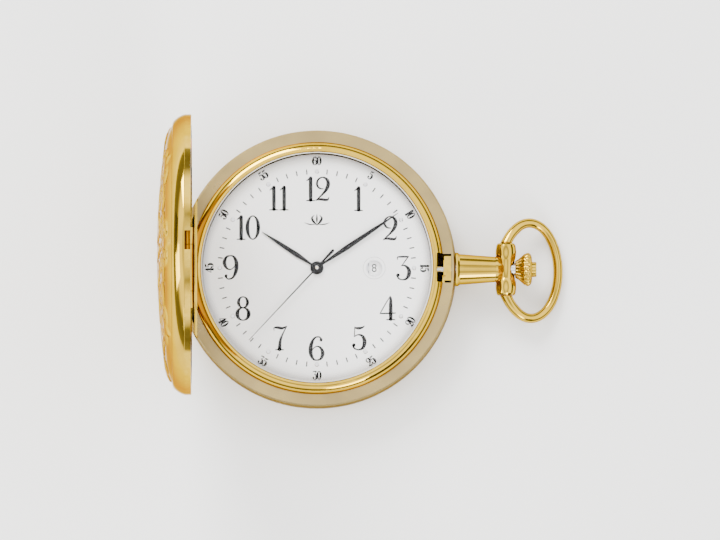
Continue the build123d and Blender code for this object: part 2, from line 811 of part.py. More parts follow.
setting_phase = meshing_phase(minute_phase, minute_teeth, setting_teeth, setting_direction)

with BuildPart() as centre_wheel:
    toothed_disc((0, 0), centre_level, wheel_height, centre_teeth, centre_module, centre_phase)
    drum((0, 0), centre_level, cannon_level, pipe_outer - 0.06)
    drum((0, 0), centre_level, cannon_level, pipe_inner, Mode.SUBTRACT)
centre_wheel.part.label = "centre_wheel"

with BuildPart() as cannon_pinion:
    toothed_disc((0, 0), cannon_level, 0.25, cannon_teeth, train_module, cannon_phase)
    drum((0, 0), cannon_level, minute_level + hand_thickness, pipe_outer)
    drum((0, 0), cannon_level, minute_level + 1, pipe_inner, Mode.SUBTRACT)
cannon_pinion.part.label = "cannon_pinion"

with BuildPart() as minute_wheel:
    toothed_disc(minute_point, cannon_level + 0.02, 0.2, minute_teeth, train_module, minute_phase)
    low = cannon_level + 0.22
    toothed_disc(minute_point, low, 0.28, minute_pinion_teeth, hour_module, 0.0)
    drum(minute_point, cannon_level, low + 0.28, 0.3 + running_clearance, Mode.SUBTRACT)
minute_wheel.part.label = "minute_wheel"

with BuildPart() as hour_wheel:
    toothed_disc((0, 0), hour_wheel_level, 0.18, hour_teeth, hour_module, hour_phase)
    toothed_disc((0, 0), hour_wheel_level + 0.18, 0.27, date_pinion_teeth, hour_module, 0.0)
    drum((0, 0), hour_wheel_level, hour_level + hand_thickness, hour_pipe_outer)
    drum((0, 0), hour_wheel_level, hour_level + 1, hour_pipe_inner, Mode.SUBTRACT)
hour_wheel.part.label = "hour_wheel"

disc_inner = 8.4
disc_outer = 11.4
with BuildPart() as date_driving_wheel:
    toothed_disc(date_point, date_level, 0.2, date_wheel_teeth, hour_module, date_phase)
    finger_reach = disc_inner - date_distance - 0.15
    with BuildSketch(Plane((date_point[0], date_point[1], date_level))):
        with BuildLine():
            Polyline((0, -0.5), (finger_reach, -0.12), (finger_reach, 0.12), (0, 0.5), close=True)
        make_face()
    extrude(amount=0.2)
    drum(date_point, plate_front + 0.05, date_level, 0.7)
    drum(date_point, plate_front, date_level + 1, 0.4 + running_clearance, Mode.SUBTRACT)
date_driving_wheel.part.label = "date_driving_wheel"

with BuildPart() as date_disc:
    ring(date_level, date_level + 0.2, disc_inner + 0.8, disc_outer)
    with BuildSketch(Plane.XY.offset(date_level)):
        Circle(disc_inner + 0.9)
        Circle(disc_inner + 0.6, mode=Mode.SUBTRACT)
        with PolarLocations(disc_inner + 0.4, date_teeth):
            Rectangle(0.8, 0.7)
    extrude(amount=0.2)
date_disc.part.label = "date_disc"

with BuildPart() as setting_wheel:
    toothed_disc(setting_point, cannon_level + 0.02, 0.2, setting_teeth, train_module, setting_phase)
    drum(setting_point, cannon_level, cannon_level + 0.5, 0.3 + running_clearance, Mode.SUBTRACT)
setting_wheel.part.label = "setting_wheel"

# =============================== movement frame ===============================

battery_point = polar(8.7, -60.0)
coil_point = polar(10.2, 78.0)
quartz_point = polar(9.2, -115.0)
plate_screw_points = [polar(11.6, angle) for angle in (35, 150, 205, 275)]
post_points = [polar(7.3, angle) for angle in (70, 195, 300)]
arbor_points = (rotor_point, intermediate_point, third_point)

with BuildPart() as main_plate:
    drum((0, 0), plate_back, plate_front, movement_radius)
    drum((0, 0), plate_back, plate_front, pipe_outer + 0.06, Mode.SUBTRACT)
    for point in arbor_points:
        drum(point, plate_back, plate_front, pivot_radius + 0.04, Mode.SUBTRACT)
    for point in plate_screw_points:
        drum(point, bridge_front, plate_back, 0.9)
        drum(point, bridge_front, plate_front, 0.4, Mode.SUBTRACT)
    # posts that carry the motion work, and the trench for the stem
    drum(minute_point, plate_front, cannon_level + 0.5, 0.3)
    drum(setting_point, plate_front, cannon_level + 0.3, 0.3)
    drum(date_point, plate_front, date_level + 0.2, 0.4)
    for point in post_points:
        drum(point, plate_front, date_level + 0.22, 0.45)
    block((stem_tip - 1, -0.9, plate_back - 1), (movement_radius + 1, 0.9, plate_back + 0.22), Mode.SUBTRACT)
    block((pinion_x - 0.6, -1.3, plate_back - 1), (pinion_x + 1.5, 1.3, plate_front + 1), Mode.SUBTRACT)
main_plate.part.label = "main_plate"

with BuildPart() as train_bridge:
    drum((0, 0), bridge_back, bridge_front, movement_radius)
    drum(battery_point, bridge_back, bridge_front, battery_radius + 0.15, Mode.SUBTRACT)
    block((2.5, -2.0, bridge_back), (movement_radius + 1, 3.2, bridge_front), Mode.SUBTRACT)
    for point in (*arbor_points, (0, 0)):
        drum(point, bridge_back, bridge_front, pivot_radius + 0.04, Mode.SUBTRACT)
    for point in plate_screw_points:
        drum(point, bridge_back, bridge_front, 0.45, Mode.SUBTRACT)
train_bridge.part.label = "train_bridge"

with BuildPart() as bridge_screws:
    for point in plate_screw_points:
        drum(point, bridge_back, plate_back, 0.4)
        drum(point, bridge_back - 0.35, bridge_back, 0.75)
        block(
            (point[0] - 1, point[1] - 0.09, bridge_back - 0.4),
            (point[0] + 1, point[1] + 0.09, bridge_back - 0.2),
            Mode.SUBTRACT,
        )
bridge_screws.part.label = "bridge_screws"

with BuildPart() as battery:
    battery_low = plate_back - 0.1 - battery_height
    drum(battery_point, battery_low, battery_low + battery_height - 0.3, battery_radius)
    drum(battery_point, battery_low + battery_height - 0.3, plate_back - 0.1, battery_radius - 0.6)
battery.part.label = "battery"

with BuildPart() as battery_clamp:
    with BuildSketch(Plane.XY.offset(battery_low - 0.2)):
        with BuildLine():
            Polyline(
                shifted(battery_point, 2.4, 160),
                shifted(battery_point, 2.0, -20),
                shifted(battery_point, 2.6, 20),
                shifted(battery_point, 4.7, 140),
                close=True,
            )
        make_face()
    extrude(amount=0.2)
battery_clamp.part.label = "battery_clamp"

with BuildPart() as stator:
    with BuildSketch(Plane.XY.offset(rotor_level + 0.5)):
        with Locations(Location((rotor_point[0] + 1.2, rotor_point[1] + 0.9), 30)):
            Rectangle(5.4, 2.0)
        with Locations(rotor_point):
            Circle(1.0, mode=Mode.SUBTRACT)
        with Locations(intermediate_point):
            Circle(0.5, mode=Mode.SUBTRACT)
    extrude(amount=0.35)
stator.part.label = "stator"

with BuildPart() as coil_core:
    block(
        (coil_point[0] - 3.9, coil_point[1] - 0.35, rotor_level + 0.1),
        (coil_point[0] + 3.9, coil_point[1] + 0.35, rotor_level + 0.5),
    )
coil_core.part.label = "coil_core"

with BuildPart() as coil_winding:
    block(
        (coil_point[0] - 3.0, coil_point[1] - 0.95, rotor_level - 0.45),
        (coil_point[0] + 3.0, coil_point[1] + 0.95, rotor_level + 1.05),
    )
    fillet(coil_winding.edges().filter_by(Axis.X), 0.4)
    block(
        (coil_point[0] - 4.0, coil_point[1] - 0.35, rotor_level + 0.1),
        (coil_point[0] + 4.0, coil_point[1] + 0.35, rotor_level + 0.5),
        Mode.SUBTRACT,
    )
coil_winding.part.label = "coil_winding"

with BuildPart() as circuit_board:
    with BuildSketch(Plane.XY.offset(plate_back - 0.3)):
        with Locations(polar(9.7, 175.0)):
            Rectangle(4.0, 7.4)
    extrude(amount=0.25)
    for pad in (-2.5, 0.5):
        with BuildSketch(Plane.XY.offset(plate_back - 0.7)):
            with Locations((-9.9, pad)):
                Rectangle(1.8, 1.5)
        extrude(amount=0.4)
circuit_board.part.label = "circuit_board"

with BuildPart() as quartz_can:
    block(
        (quartz_point[0] - 3.0, quartz_point[1] - 0.7, plate_back - 1.5),
        (quartz_point[0] + 2.2, quartz_point[1] + 0.7, plate_back - 0.1),
    )
    fillet(quartz_can.edges().filter_by(Axis.X), 0.5)
quartz_can.part.label = "quartz_can"

with BuildPart() as date_keeper:
    keeper_low = date_level + 0.22
    ring(keeper_low, keeper_low + 0.1, 6.7, disc_inner + 0.5)
date_keeper.part.label = "date_keeper"

with BuildPart() as sliding_pinion:
    with BuildSketch(Plane(origin=(pinion_x - 0.5, 0, stem_height), x_dir=(0, 1, 0), z_dir=(1, 0, 0))):
        Circle(0.95)
        with PolarLocations(0.98, 12):
            Rectangle(0.3, 0.16)
    extrude(amount=1.2)
    with BuildSketch(Plane(origin=(pinion_x - 1, 0, stem_height), x_dir=(0, 1, 0), z_dir=(1, 0, 0))):
        Rectangle(square_side + 0.06, square_side + 0.06)
    extrude(amount=3, mode=Mode.SUBTRACT)
sliding_pinion.part.label = "sliding_pinion"

lever_arm = 3.2
lever_pin = (lever_groove_x, 0.55)
lever_pivot = (lever_groove_x + crown_pull / 2, lever_pin[1] + lever_arm)
with BuildPart() as setting_lever:
    lever_low = stem_height - 1.1
    with BuildSketch(Plane.XY.offset(lever_low)):
        with Locations(lever_pivot):
            Circle(0.75)
        with Locations(lever_pin):
            Circle(0.35)
        with BuildLine():
            Polyline(
                (lever_pin[0] - 0.3, lever_pin[1]),
                (lever_pin[0] + 0.3, lever_pin[1]),
                (lever_pivot[0] + 0.6, lever_pivot[1]),
                (lever_pivot[0] - 0.6, lever_pivot[1]),
                close=True,
            )
        make_face()
    extrude(amount=0.3)
    drum(lever_pin, lever_low + 0.3, stem_height + 0.1, 0.17)
    drum(lever_pivot, lever_low - 1, lever_low + 1, 0.35 + running_clearance, Mode.SUBTRACT)
setting_lever.part.label = "setting_lever"

with BuildPart() as lever_stud:
    drum(lever_pivot, lever_low - 0.1, lever_low + 0.35, 0.35)
    drum(lever_pivot, lever_low - 0.35, lever_low - 0.05, 0.65)
    drum(lever_pivot, lever_low + 0.35, plate_back, 0.5)
lever_stud.part.label = "lever_stud"

with BuildPart() as movement_holder:
    holder_low = bridge_back - 1.2
    ring(holder_low, dial_back, movement_radius + face_clearance, holder_radius)
    with BuildSketch(Plane.XY.offset(holder_low)):
        with PolarLocations((movement_radius + holder_radius) / 2, 12, 15):
            Rectangle(holder_radius - movement_radius - 2.4, 4.5)
    extrude(amount=dial_back - holder_low - 1.6, mode=Mode.SUBTRACT)
    block((0, -1.5, stem_height - 1.4), (case_radius, 1.5, stem_height + 1.2), Mode.SUBTRACT)
    for point in foot_points:
        drum(point, dial_back - 1.4, dial_back, 0.4, Mode.SUBTRACT)
movement_holder.part.label = "movement_holder"

with BuildPart() as holder_clamps:
    for angle in (30, 150, 270):
        with BuildSketch(Plane.XY.offset(holder_low - 0.3)):
            with Locations(Location(polar(holder_radius - 3.4, angle), angle)):
                Rectangle(4.6, 1.6)
        extrude(amount=0.3)
holder_clamps.part.label = "holder_clamps"

pieces = (
    case_middle, hinge_block, hinge_pin, lift_spring, back_cover, back_gasket, bezel, crystal_gasket,
    crystal, lid_cover, lid_rim, pendant_neck, pendant_head, pendant_tube, crown_gasket, bow, crown,
    stem, push_button, push_rod, cross_pin, release_collar, lock_spring, lock_spring_screw, dial, dial_feet,
    dial_pips, date_frame, hour_hand, minute_hand, second_hand, rotor, intermediate_wheel,
    seconds_wheel, third_wheel, centre_wheel, cannon_pinion, minute_wheel, hour_wheel,
    date_driving_wheel, date_disc, setting_wheel, main_plate, train_bridge, bridge_screws, battery,
    battery_clamp, stator, coil_core, coil_winding, circuit_board, quartz_can, date_keeper,
    sliding_pinion, setting_lever, lever_stud, movement_holder, holder_clamps,
)
for piece in pieces:
    export_step(piece.part, f"parts/{piece.part.label}.step")
print(f"wrote {len(pieces)} parts")
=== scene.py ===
"""Hunter pocket watch with its lid open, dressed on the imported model. Metres, +Z out of the dial."""

import json
import logging
import math
from collections.abc import Iterable
from dataclasses import dataclass, field
from enum import Enum

import bmesh
import bpy
from mathutils import Matrix, Vector

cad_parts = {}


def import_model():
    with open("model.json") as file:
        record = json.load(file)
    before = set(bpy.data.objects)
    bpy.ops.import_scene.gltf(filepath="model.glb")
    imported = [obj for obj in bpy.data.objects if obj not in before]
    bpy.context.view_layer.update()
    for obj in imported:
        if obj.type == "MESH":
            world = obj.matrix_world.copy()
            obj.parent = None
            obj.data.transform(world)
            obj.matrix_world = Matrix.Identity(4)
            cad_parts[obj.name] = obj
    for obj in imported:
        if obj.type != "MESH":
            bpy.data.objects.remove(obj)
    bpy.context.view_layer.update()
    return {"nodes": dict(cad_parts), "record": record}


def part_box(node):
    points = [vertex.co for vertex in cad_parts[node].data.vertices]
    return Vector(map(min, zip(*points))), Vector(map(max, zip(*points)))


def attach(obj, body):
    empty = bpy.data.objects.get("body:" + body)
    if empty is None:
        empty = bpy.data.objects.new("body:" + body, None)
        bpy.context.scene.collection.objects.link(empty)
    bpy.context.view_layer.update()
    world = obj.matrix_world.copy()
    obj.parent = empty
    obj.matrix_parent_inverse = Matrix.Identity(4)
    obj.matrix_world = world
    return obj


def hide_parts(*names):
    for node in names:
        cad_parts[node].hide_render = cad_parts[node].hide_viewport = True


LOG = logging.getLogger("pocket_watch")
MM = 0.001
FULL_TURN = 2 * math.pi
MARK_DEPTH = 0.02 * MM
DIGIT_SHARE = 0.72  # of the font's size
WELD = 1e-7
Colour = tuple[float, float, float]
Point = tuple[float, float]
Stroke = tuple[tuple[float, float, float], ...]
Socket = bpy.types.NodeSocket
Vert = bmesh.types.BMVert


class Body(Enum):
    """The moving bodies that new pieces ride on."""

    CASE = "case"
    LID = "lid"
    DATE_RING = "date_ring"
    SECONDS = "seconds_train"
    BOW = "bow"
    CROWN = "crown"


# ------------------------------------------------------------------ node helpers


class NodeSheet:
    """A short way to add and join nodes in one node tree."""

    def __init__(self, tree: bpy.types.NodeTree) -> None:
        """Keep the tree.

        Args:
            tree: the node tree that receives the nodes.
        """
        self.tree = tree

    def add(self, kind: str, **values: object) -> bpy.types.Node:
        """Add a node and set its properties.

        Args:
            kind: the node's type name.
            values: properties of the node by name.

        Returns:
            The new node.
        """
        node = self.tree.nodes.new(kind)
        for name, value in values.items():
            setattr(node, name, value)
        return node

    def join(self, start: Socket, end: Socket) -> None:
        """Link an output socket to an input socket."""
        self.tree.links.new(start, end)

    def fill(self, node: bpy.types.Node, inputs: dict) -> None:
        """Link each input to a socket, or set it to a constant; colours get full alpha."""
        for name, value in inputs.items():
            if isinstance(value, Socket):
                self.join(value, node.inputs[name])
            elif node.inputs[name].type == "RGBA":
                node.inputs[name].default_value = (*value, 1.0)
            else:
                node.inputs[name].default_value = value

    def put(self, kind: str, output: str, inputs: dict, **values: object) -> Socket:
        """Add a node, fill its inputs and return one output.

        Args:
            kind: the node's type name.
            output: the output to return.
            inputs: a socket or a constant for each input.
            values: properties of the node by name.

        Returns:
            The output socket.
        """
        node = self.add(kind, **values)
        self.fill(node, inputs)
        return node.outputs[output]

    def place(self) -> Socket:
        """Return the object's own coordinates."""
        return self.put("ShaderNodeTexCoord", "Object", {})

    def radius(self) -> Socket:
        """Return the distance from the dial's axis."""
        flat = self.put("ShaderNodeVectorMath", "Vector", {0: self.place(), 1: (1.0, 1.0, 0.0)},
                        operation="MULTIPLY")
        return self.put("ShaderNodeVectorMath", "Value", {0: flat}, operation="LENGTH")

    def noise(self, place: Socket, scale: Socket | float, detail: float) -> Socket:
        """Return noise read at a place, with a number of cells per metre."""
        return self.put("ShaderNodeTexNoise", "Fac", {"Vector": place, "Scale": scale, "Detail": detail})

    def times(self, first: Socket, second: Socket, **values: object) -> Socket:
        """Return the product of two values."""
        return self.put("ShaderNodeMath", "Value", {0: first, 1: second}, operation="MULTIPLY", **values)

    def spread(self, value: Socket, low: float, high: float, start: float = 0.0, end: float = 1.0) -> Socket:
        """Map a value from one range to another.

        Args:
            value: the socket to read.
            low: the result at the start of the range.
            high: the result at the end of the range.
            start: where the range starts.
            end: where the range ends.

        Returns:
            The mapped value socket.
        """
        limits = {"From Min": start, "From Max": end, "To Min": low, "To Max": high}
        return self.put("ShaderNodeMapRange", "Result", {"Value": value, **limits})

    def blend(self, mask: Socket, low: Socket | Colour, high: Socket | Colour) -> Socket:
        """Return two colours mixed by a mask."""
        return self.put("ShaderNodeMix", "Result", {"Factor": mask, "A": low, "B": high}, data_type="RGBA")

    def bump(self, height: Socket, distance: float, strength: float) -> Socket:
        """Return a normal bent by a height."""
        return self.put("ShaderNodeBump", "Normal",
                        {"Height": height, "Distance": distance, "Strength": strength})


class SurfaceEffects:
    """The shader groups that more than one finish uses."""

    def __init__(self) -> None:
        """Build the three groups once."""
        self.wear = self._wear()
        self.fine_marks = self._fine_marks()
        self.lathe_lines = self._lathe_lines()

    def _group(self, name: str, sizes: dict[str, float], results: tuple[str, ...]) -> tuple:
        """Start a group with number inputs and value outputs.

        Args:
            name: the group's name.
            sizes: each input and its default.
            results: each output.

        Returns:
            The group, its sheet, its inputs as sockets and its output node.
        """
        group = bpy.data.node_groups.new(name, "ShaderNodeTree")
        for label, value in sizes.items():
            socket = group.interface.new_socket(label, in_out="INPUT", socket_type="NodeSocketFloat")
            socket.default_value = value
        for label in results:
            group.interface.new_socket(label, in_out="OUTPUT", socket_type="NodeSocketFloat")
        sheet = NodeSheet(group)
        return group, sheet, sheet.add("NodeGroupInput").outputs, sheet.add("NodeGroupOutput")

    def _wear(self) -> bpy.types.NodeTree:
        """Return a group whose mask is 1 on worn edges and rubbed patches."""
        group, sheet, entry, result = self._group("edge_wear", {"Amount": 0.5, "Scale": 900.0}, ("Mask",))
        edge = sheet.spread(sheet.put("ShaderNodeNewGeometry", "Pointiness", {}), 0.0, 1.0, 0.5, 0.62)
        patch = sheet.spread(sheet.noise(sheet.place(), entry["Scale"], 5.0), 0.0, 1.0, 0.35, 0.65)
        mask = sheet.times(sheet.times(edge, patch), entry["Amount"], use_clamp=True)
        sheet.fill(result, {"Mask": mask})
        return group

    def _fine_marks(self) -> bpy.types.NodeTree:
        """Return a group with the height and gloss change of fine handling marks."""
        group, sheet, entry, result = self._group(
            "fine_marks", {"Scale": 2500.0, "Stretch": 12.0}, ("Height", "Gloss")
        )
        place = sheet.place()
        stretch = sheet.put("ShaderNodeCombineXYZ", "Vector", {"X": 1.0, "Y": entry["Stretch"], "Z": 1.0})
        drawn = sheet.put("ShaderNodeVectorMath", "Vector", {0: place, 1: stretch}, operation="MULTIPLY")
        gloss = sheet.spread(sheet.noise(place, 160.0, 3.0), 0.0, 1.0, 0.3, 0.7)
        sheet.fill(result, {"Height": sheet.noise(drawn, entry["Scale"], 3.0), "Gloss": gloss})
        return group

    def _lathe_lines(self) -> bpy.types.NodeTree:
        """Return a group with fine rings round the dial axis."""
        group, sheet, entry, result = self._group("lathe_lines", {"Rings": 9000.0}, ("Height",))
        turned = sheet.times(sheet.radius(), entry["Rings"])
        cells = sheet.put("ShaderNodeTexNoise", "Fac", {"W": turned, "Scale": 1.0, "Detail": 4.0},
                          noise_dimensions="1D")
        sheet.fill(result, {"Height": cells})
        return group


# ------------------------------------------------------------------ finishes


@dataclass(frozen=True)
class Finish:
    """A material with fine handling marks, shaded by each kind of surface in its own way."""

    name: str

    def build(self, effects: SurfaceEffects) -> bpy.types.Material:
        """Make the material.

        Args:
            effects: the shared shader groups.

        Returns:
            The finished material.
        """
        material = bpy.data.materials.new(self.name)
        material.use_nodes = True
        sheet = NodeSheet(material.node_tree)
        marks = sheet.add("ShaderNodeGroup", node_tree=effects.fine_marks)
        surface = material.node_tree.nodes["Principled BSDF"]
        sheet.fill(surface, self.shaded(sheet, marks, effects))
        self.end(sheet, surface)
        return material

    def shaded(self, sheet: NodeSheet, marks: bpy.types.Node, effects: SurfaceEffects) -> dict:
        """Return what feeds each socket of the surface.

        Args:
            sheet: the material's nodes.
            marks: the fine marks, whose inputs may be changed.
            effects: the shared shader groups.

        Returns:
            A socket or a constant for each input.
        """
        raise NotImplementedError

    def end(self, sheet: NodeSheet, surface: bpy.types.Node) -> None:
        """Leave the surface joined to the output as it is."""


@dataclass(frozen=True)
class MetalFinish(Finish):
    """A plated or bare metal with marks, wear and optional lathe rings."""

    base: Colour
    shade: Colour
    worn: Colour
    gloss: float
    gloss_change: float = 0.06
    marks: float = 0.03
    wear: float = 0.4
    rings: float = 0.0

    def shaded(self, sheet: NodeSheet, marks: bpy.types.Node, effects: SurfaceEffects) -> dict:
        """Mottle the metal, brighten its worn edges and cut its marks or its rings."""
        worn = sheet.put("ShaderNodeGroup", "Mask", {}, node_tree=effects.wear)
        worn.node.inputs["Amount"].default_value = self.wear
        gloss, height = marks.outputs["Gloss"], marks.outputs["Height"]
        if self.rings:
            height = sheet.put("ShaderNodeGroup", "Height", {}, node_tree=effects.lathe_lines)
        return {
            "Metallic": 1.0,
            "Specular Tint": self.base,
            "Base Color": sheet.blend(worn, sheet.blend(gloss, self.base, self.shade), self.worn),
            "Roughness": sheet.spread(gloss, self.gloss, self.gloss + self.gloss_change),
            "Normal": sheet.bump(height, MARK_DEPTH, self.marks + self.rings),
        }


@dataclass(frozen=True)
class SolidFinish(Finish):
    """Lacquer, plastic, rubber or enamel with grain and a little unevenness."""

    base: Colour
    shade: Colour
    gloss: float
    gloss_change: float = 0.08
    grain: float = 0.05
    grain_scale: float = 5000.0
    coat: float = 0.0
    sheen: float = 0.5

    def shaded(self, sheet: NodeSheet, marks: bpy.types.Node, effects: SurfaceEffects) -> dict:
        """Mottle the colour and grain the skin."""
        sheet.fill(marks, {"Scale": self.grain_scale, "Stretch": 1.0})
        gloss = marks.outputs["Gloss"]
        return {
            "Coat Weight": self.coat,
            "Specular IOR Level": self.sheen,
            "Base Color": sheet.blend(gloss, self.base, self.shade),
            "Roughness": sheet.spread(gloss, self.gloss, self.gloss + self.gloss_change),
            "Normal": sheet.bump(marks.outputs["Height"], MARK_DEPTH, self.grain),
        }


@dataclass(frozen=True)
class DialFinish(Finish):
    """White lacquer with painted shade that greys it softly towards the rim, under the bezel."""

    centre: Colour
    # rim: painted shade colour at the dial's edge, where the bezel shadows it
    rim: Colour
    fade_start: float
    fade_end: float
    grain_scale: float = 9000.0

    def shaded(self, sheet: NodeSheet, marks: bpy.types.Node, effects: SurfaceEffects) -> dict:
        """Paint the bezel's shade into the white towards the rim."""
        sheet.fill(marks, {"Scale": self.grain_scale, "Stretch": 1.0})
        limits = {"From Min": self.fade_start, "From Max": self.fade_end}
        # painted shadow: the white darkens towards the rim, from the start radius to the end radius
        rim_shadow = sheet.put("ShaderNodeMapRange", "Result", {"Value": sheet.radius(), **limits},
                         interpolation_type="SMOOTHSTEP")
        return {
            "Base Color": sheet.blend(rim_shadow, self.centre, self.rim),
            "Roughness": sheet.spread(marks.outputs["Gloss"], 0.3, 0.4),
            "Normal": sheet.bump(marks.outputs["Height"], MARK_DEPTH / 2, 0.05),
        }


@dataclass(frozen=True)
class GlassFinish(Finish):
    """Clear mineral glass that lets light through to the dial."""

    tint: Colour
    bending: float = 1.12

    def shaded(self, sheet: NodeSheet, marks: bpy.types.Node, effects: SurfaceEffects) -> dict:
        """Keep the glass clear, with the faintest smudges."""
        return {
            "Base Color": self.tint,
            "Transmission Weight": 1.0,
            "IOR": self.bending,
            "Roughness": sheet.spread(marks.outputs["Gloss"], 0.0, 0.015),
        }

    def end(self, sheet: NodeSheet, surface: bpy.types.Node) -> None:
        """Let shadow and diffuse rays pass straight through."""
        rays = sheet.add("ShaderNodeLightPath").outputs
        through = sheet.put("ShaderNodeMath", "Value", {0: rays["Is Shadow Ray"], 1: rays["Is Diffuse Ray"]},
                            operation="MAXIMUM")
        clear = sheet.put("ShaderNodeBsdfTransparent", "BSDF", {})
        mix = sheet.put("ShaderNodeMixShader", "Shader",
                        {"Fac": through, 1: surface.outputs["BSDF"], 2: clear})
        sheet.fill(sheet.tree.nodes["Material Output"], {"Surface": mix})


@dataclass(frozen=True)
class EngravedFinish(Finish):
    """Gold scrolls over a darker stippled ground, told apart by the mesh's relief attribute."""

    ground: Colour
    leaf: Colour
    stipple_scale: float = 1900.0
    pit_shade: float = 0.42

    def shaded(self, sheet: NodeSheet, marks: bpy.types.Node, effects: SurfaceEffects) -> dict:
        """Stipple the ground and polish the raised leaves."""
        relief = sheet.put("ShaderNodeAttribute", "Fac", {}, attribute_name="relief")
        axes = sheet.add("ShaderNodeSeparateXYZ")
        sheet.fill(axes, {"Vector": sheet.place()})
        flat = sheet.put("ShaderNodeCombineXYZ", "Vector", {"X": axes.outputs["Y"], "Y": axes.outputs["Z"]})
        dots = sheet.put("ShaderNodeTexVoronoi", "Distance",
                         {"Vector": flat, "Scale": self.stipple_scale, "Randomness": 0.2},
                         voronoi_dimensions="2D")
        pits = sheet.spread(dots, 0.0, 1.0, 0.15, 0.5)
        ground = sheet.blend(pits, tuple(part * self.pit_shade for part in self.ground), self.ground)
        raised = sheet.spread(relief, 0.0, 1.0, 0.12, 0.5)
        height = sheet.put("ShaderNodeMix", "Result",
                           {"Factor": raised, "A": pits, "B": marks.outputs["Height"]}, data_type="FLOAT")
        return {
            "Metallic": 1.0,
            "Specular Tint": self.leaf,
            "Base Color": sheet.blend(raised, ground, self.leaf),
            "Roughness": sheet.spread(raised, 0.36, 0.17),
            "Normal": sheet.bump(height, MARK_DEPTH * 3, 0.6),
        }


GOLD = (0.54, 0.350, 0.034)
GOLD_SHADE = (0.45, 0.285, 0.024)
GOLD_WORN = (0.66, 0.47, 0.08)

FINISHES = {finish.name: finish for finish in (
    MetalFinish("polished_gold", GOLD, GOLD_SHADE, GOLD_WORN, 0.06, marks=0.015),
    MetalFinish("satin_gold", (0.38, 0.28, 0.115), (0.30, 0.225, 0.10), GOLD_WORN, 0.26, rings=0.35),
    # the dial's rim colour is painted shade from the bezel
    DialFinish("white_dial", (0.97, 0.97, 0.985), (0.46, 0.46, 0.49), 18.0 * MM, 20.0 * MM),
    MetalFinish("silver_trim", (0.75, 0.75, 0.77), (0.66, 0.66, 0.68), (0.9, 0.9, 0.9), 0.15),
    SolidFinish("black_hands", (0.006, 0.006, 0.007), (0.012, 0.012, 0.013), 0.2, grain=0.02, sheen=0.2),
    SolidFinish("rubber_seal", (0.02, 0.02, 0.02), (0.035, 0.035, 0.035), 0.6, grain=0.3),
    SolidFinish("nylon", (0.62, 0.61, 0.56), (0.54, 0.53, 0.49), 0.45, grain=0.15),
    MetalFinish("steel", (0.60, 0.61, 0.63), (0.50, 0.51, 0.53), (0.8, 0.8, 0.8), 0.2, marks=0.1),
    MetalFinish("movement_brass", (0.78, 0.62, 0.32), (0.68, 0.53, 0.27), GOLD_WORN, 0.25, marks=0.12),
    SolidFinish("white_plastic", (0.80, 0.80, 0.76), (0.74, 0.74, 0.70), 0.4, grain=0.1),
    MetalFinish("copper_wire", (0.72, 0.34, 0.16), (0.58, 0.25, 0.11), (0.85, 0.5, 0.3), 0.3, marks=0.4),
    SolidFinish("green_board", (0.02, 0.13, 0.06), (0.03, 0.18, 0.08), 0.35, coat=0.3),
    SolidFinish("black_ink", (0.005, 0.005, 0.006), (0.009, 0.009, 0.010), 0.5, grain=0.01, sheen=0.25),
    SolidFinish("grey_ink", (0.30, 0.30, 0.31), (0.38, 0.38, 0.39), 0.45),
    EngravedFinish("engraved_gold", (0.11, 0.085, 0.030), (0.56, 0.385, 0.05)),
)}
FINISHES["glass"] = GlassFinish("mineral_glass", (1.0, 1.0, 1.0))


class Workshop:
    """Builds the finishes once and dresses pieces with them."""

    def __init__(self) -> None:
        """Build the shader groups and every finish."""
        effects = SurfaceEffects()
        self.materials = {name: finish.build(effects) for name, finish in FINISHES.items()}

    def dress(self, piece: bpy.types.Object, finish: str) -> None:
        """Give a piece one finish on all its faces."""
        piece.data.materials.clear()
        piece.data.materials.append(self.materials[finish])

    def keep(self, mesh: bpy.types.Mesh, name: str, finish: str, body: Body, slot: str) -> bpy.types.Object:
        """Turn a mesh into a finished piece that rides on a body.

        Args:
            mesh: the piece's mesh, already in place.
            name: the piece's name.
            finish: the finish's name.
            body: the body that carries it.
            slot: the record's material slot; not used.

        Returns:
            The piece.
        """
        piece = placed(name, mesh)
        self.dress(piece, finish)
        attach(piece, body.value)
        LOG.info("%s: %d faces", name, len(mesh.polygons))
        return piece


def placed(name: str, data: bpy.types.ID) -> bpy.types.Object:
    """Make an object of some data and link it to the scene."""
    item = bpy.data.objects.new(name, data)
    bpy.context.scene.collection.objects.link(item)
    return item


def turns(count: int) -> list[float]:
    """Return evenly spaced angles round a full turn."""
    return [FULL_TURN * index / count for index in range(count)]


def bridge(shape: bmesh.types.BMesh, first: list[Vert], second: list[Vert]) -> None:
    """Join two closed rings of the same count with faces."""
    for index in range(len(first)):
        after = (index + 1) % len(first)
        shape.faces.new((first[index], first[after], second[after], second[index]))


def mesh_of(name: str, shape: bmesh.types.BMesh, smooth: bool = True) -> bpy.types.Mesh:
    """Close a bmesh and return it as a mesh.

    Args:
        name: the mesh's name.
        shape: the bmesh, which is freed.
        smooth: whether its faces are shaded smooth.

    Returns:
        The new mesh.
    """
    for face in shape.faces:
        face.smooth = smooth
    mesh = bpy.data.meshes.new(name)
    shape.to_mesh(mesh)
    shape.free()
    return mesh


def joined(name: str, objects: Iterable[bpy.types.Object]) -> bpy.types.Mesh:
    """Merge the shapes of curve or text objects, with their places applied, and remove them.

    Args:
        name: the new mesh's name.
        objects: the curve and text objects.

    Returns:
        The merged mesh.
    """
    objects = list(objects)
    bpy.context.view_layer.update()
    graph = bpy.context.evaluated_depsgraph_get()
    shape = bmesh.new()
    for item in objects:
        part = bpy.data.meshes.new_from_object(item.evaluated_get(graph))
        part.transform(item.matrix_world)
        shape.from_mesh(part)
        bpy.data.meshes.remove(part)
    for item in objects:
        bpy.data.objects.remove(item)
    bmesh.ops.remove_doubles(shape, verts=shape.verts, dist=WELD)
    bmesh.ops.recalc_face_normals(shape, faces=shape.faces)
    return mesh_of(name, shape)


# ------------------------------------------------------------------ printed marks


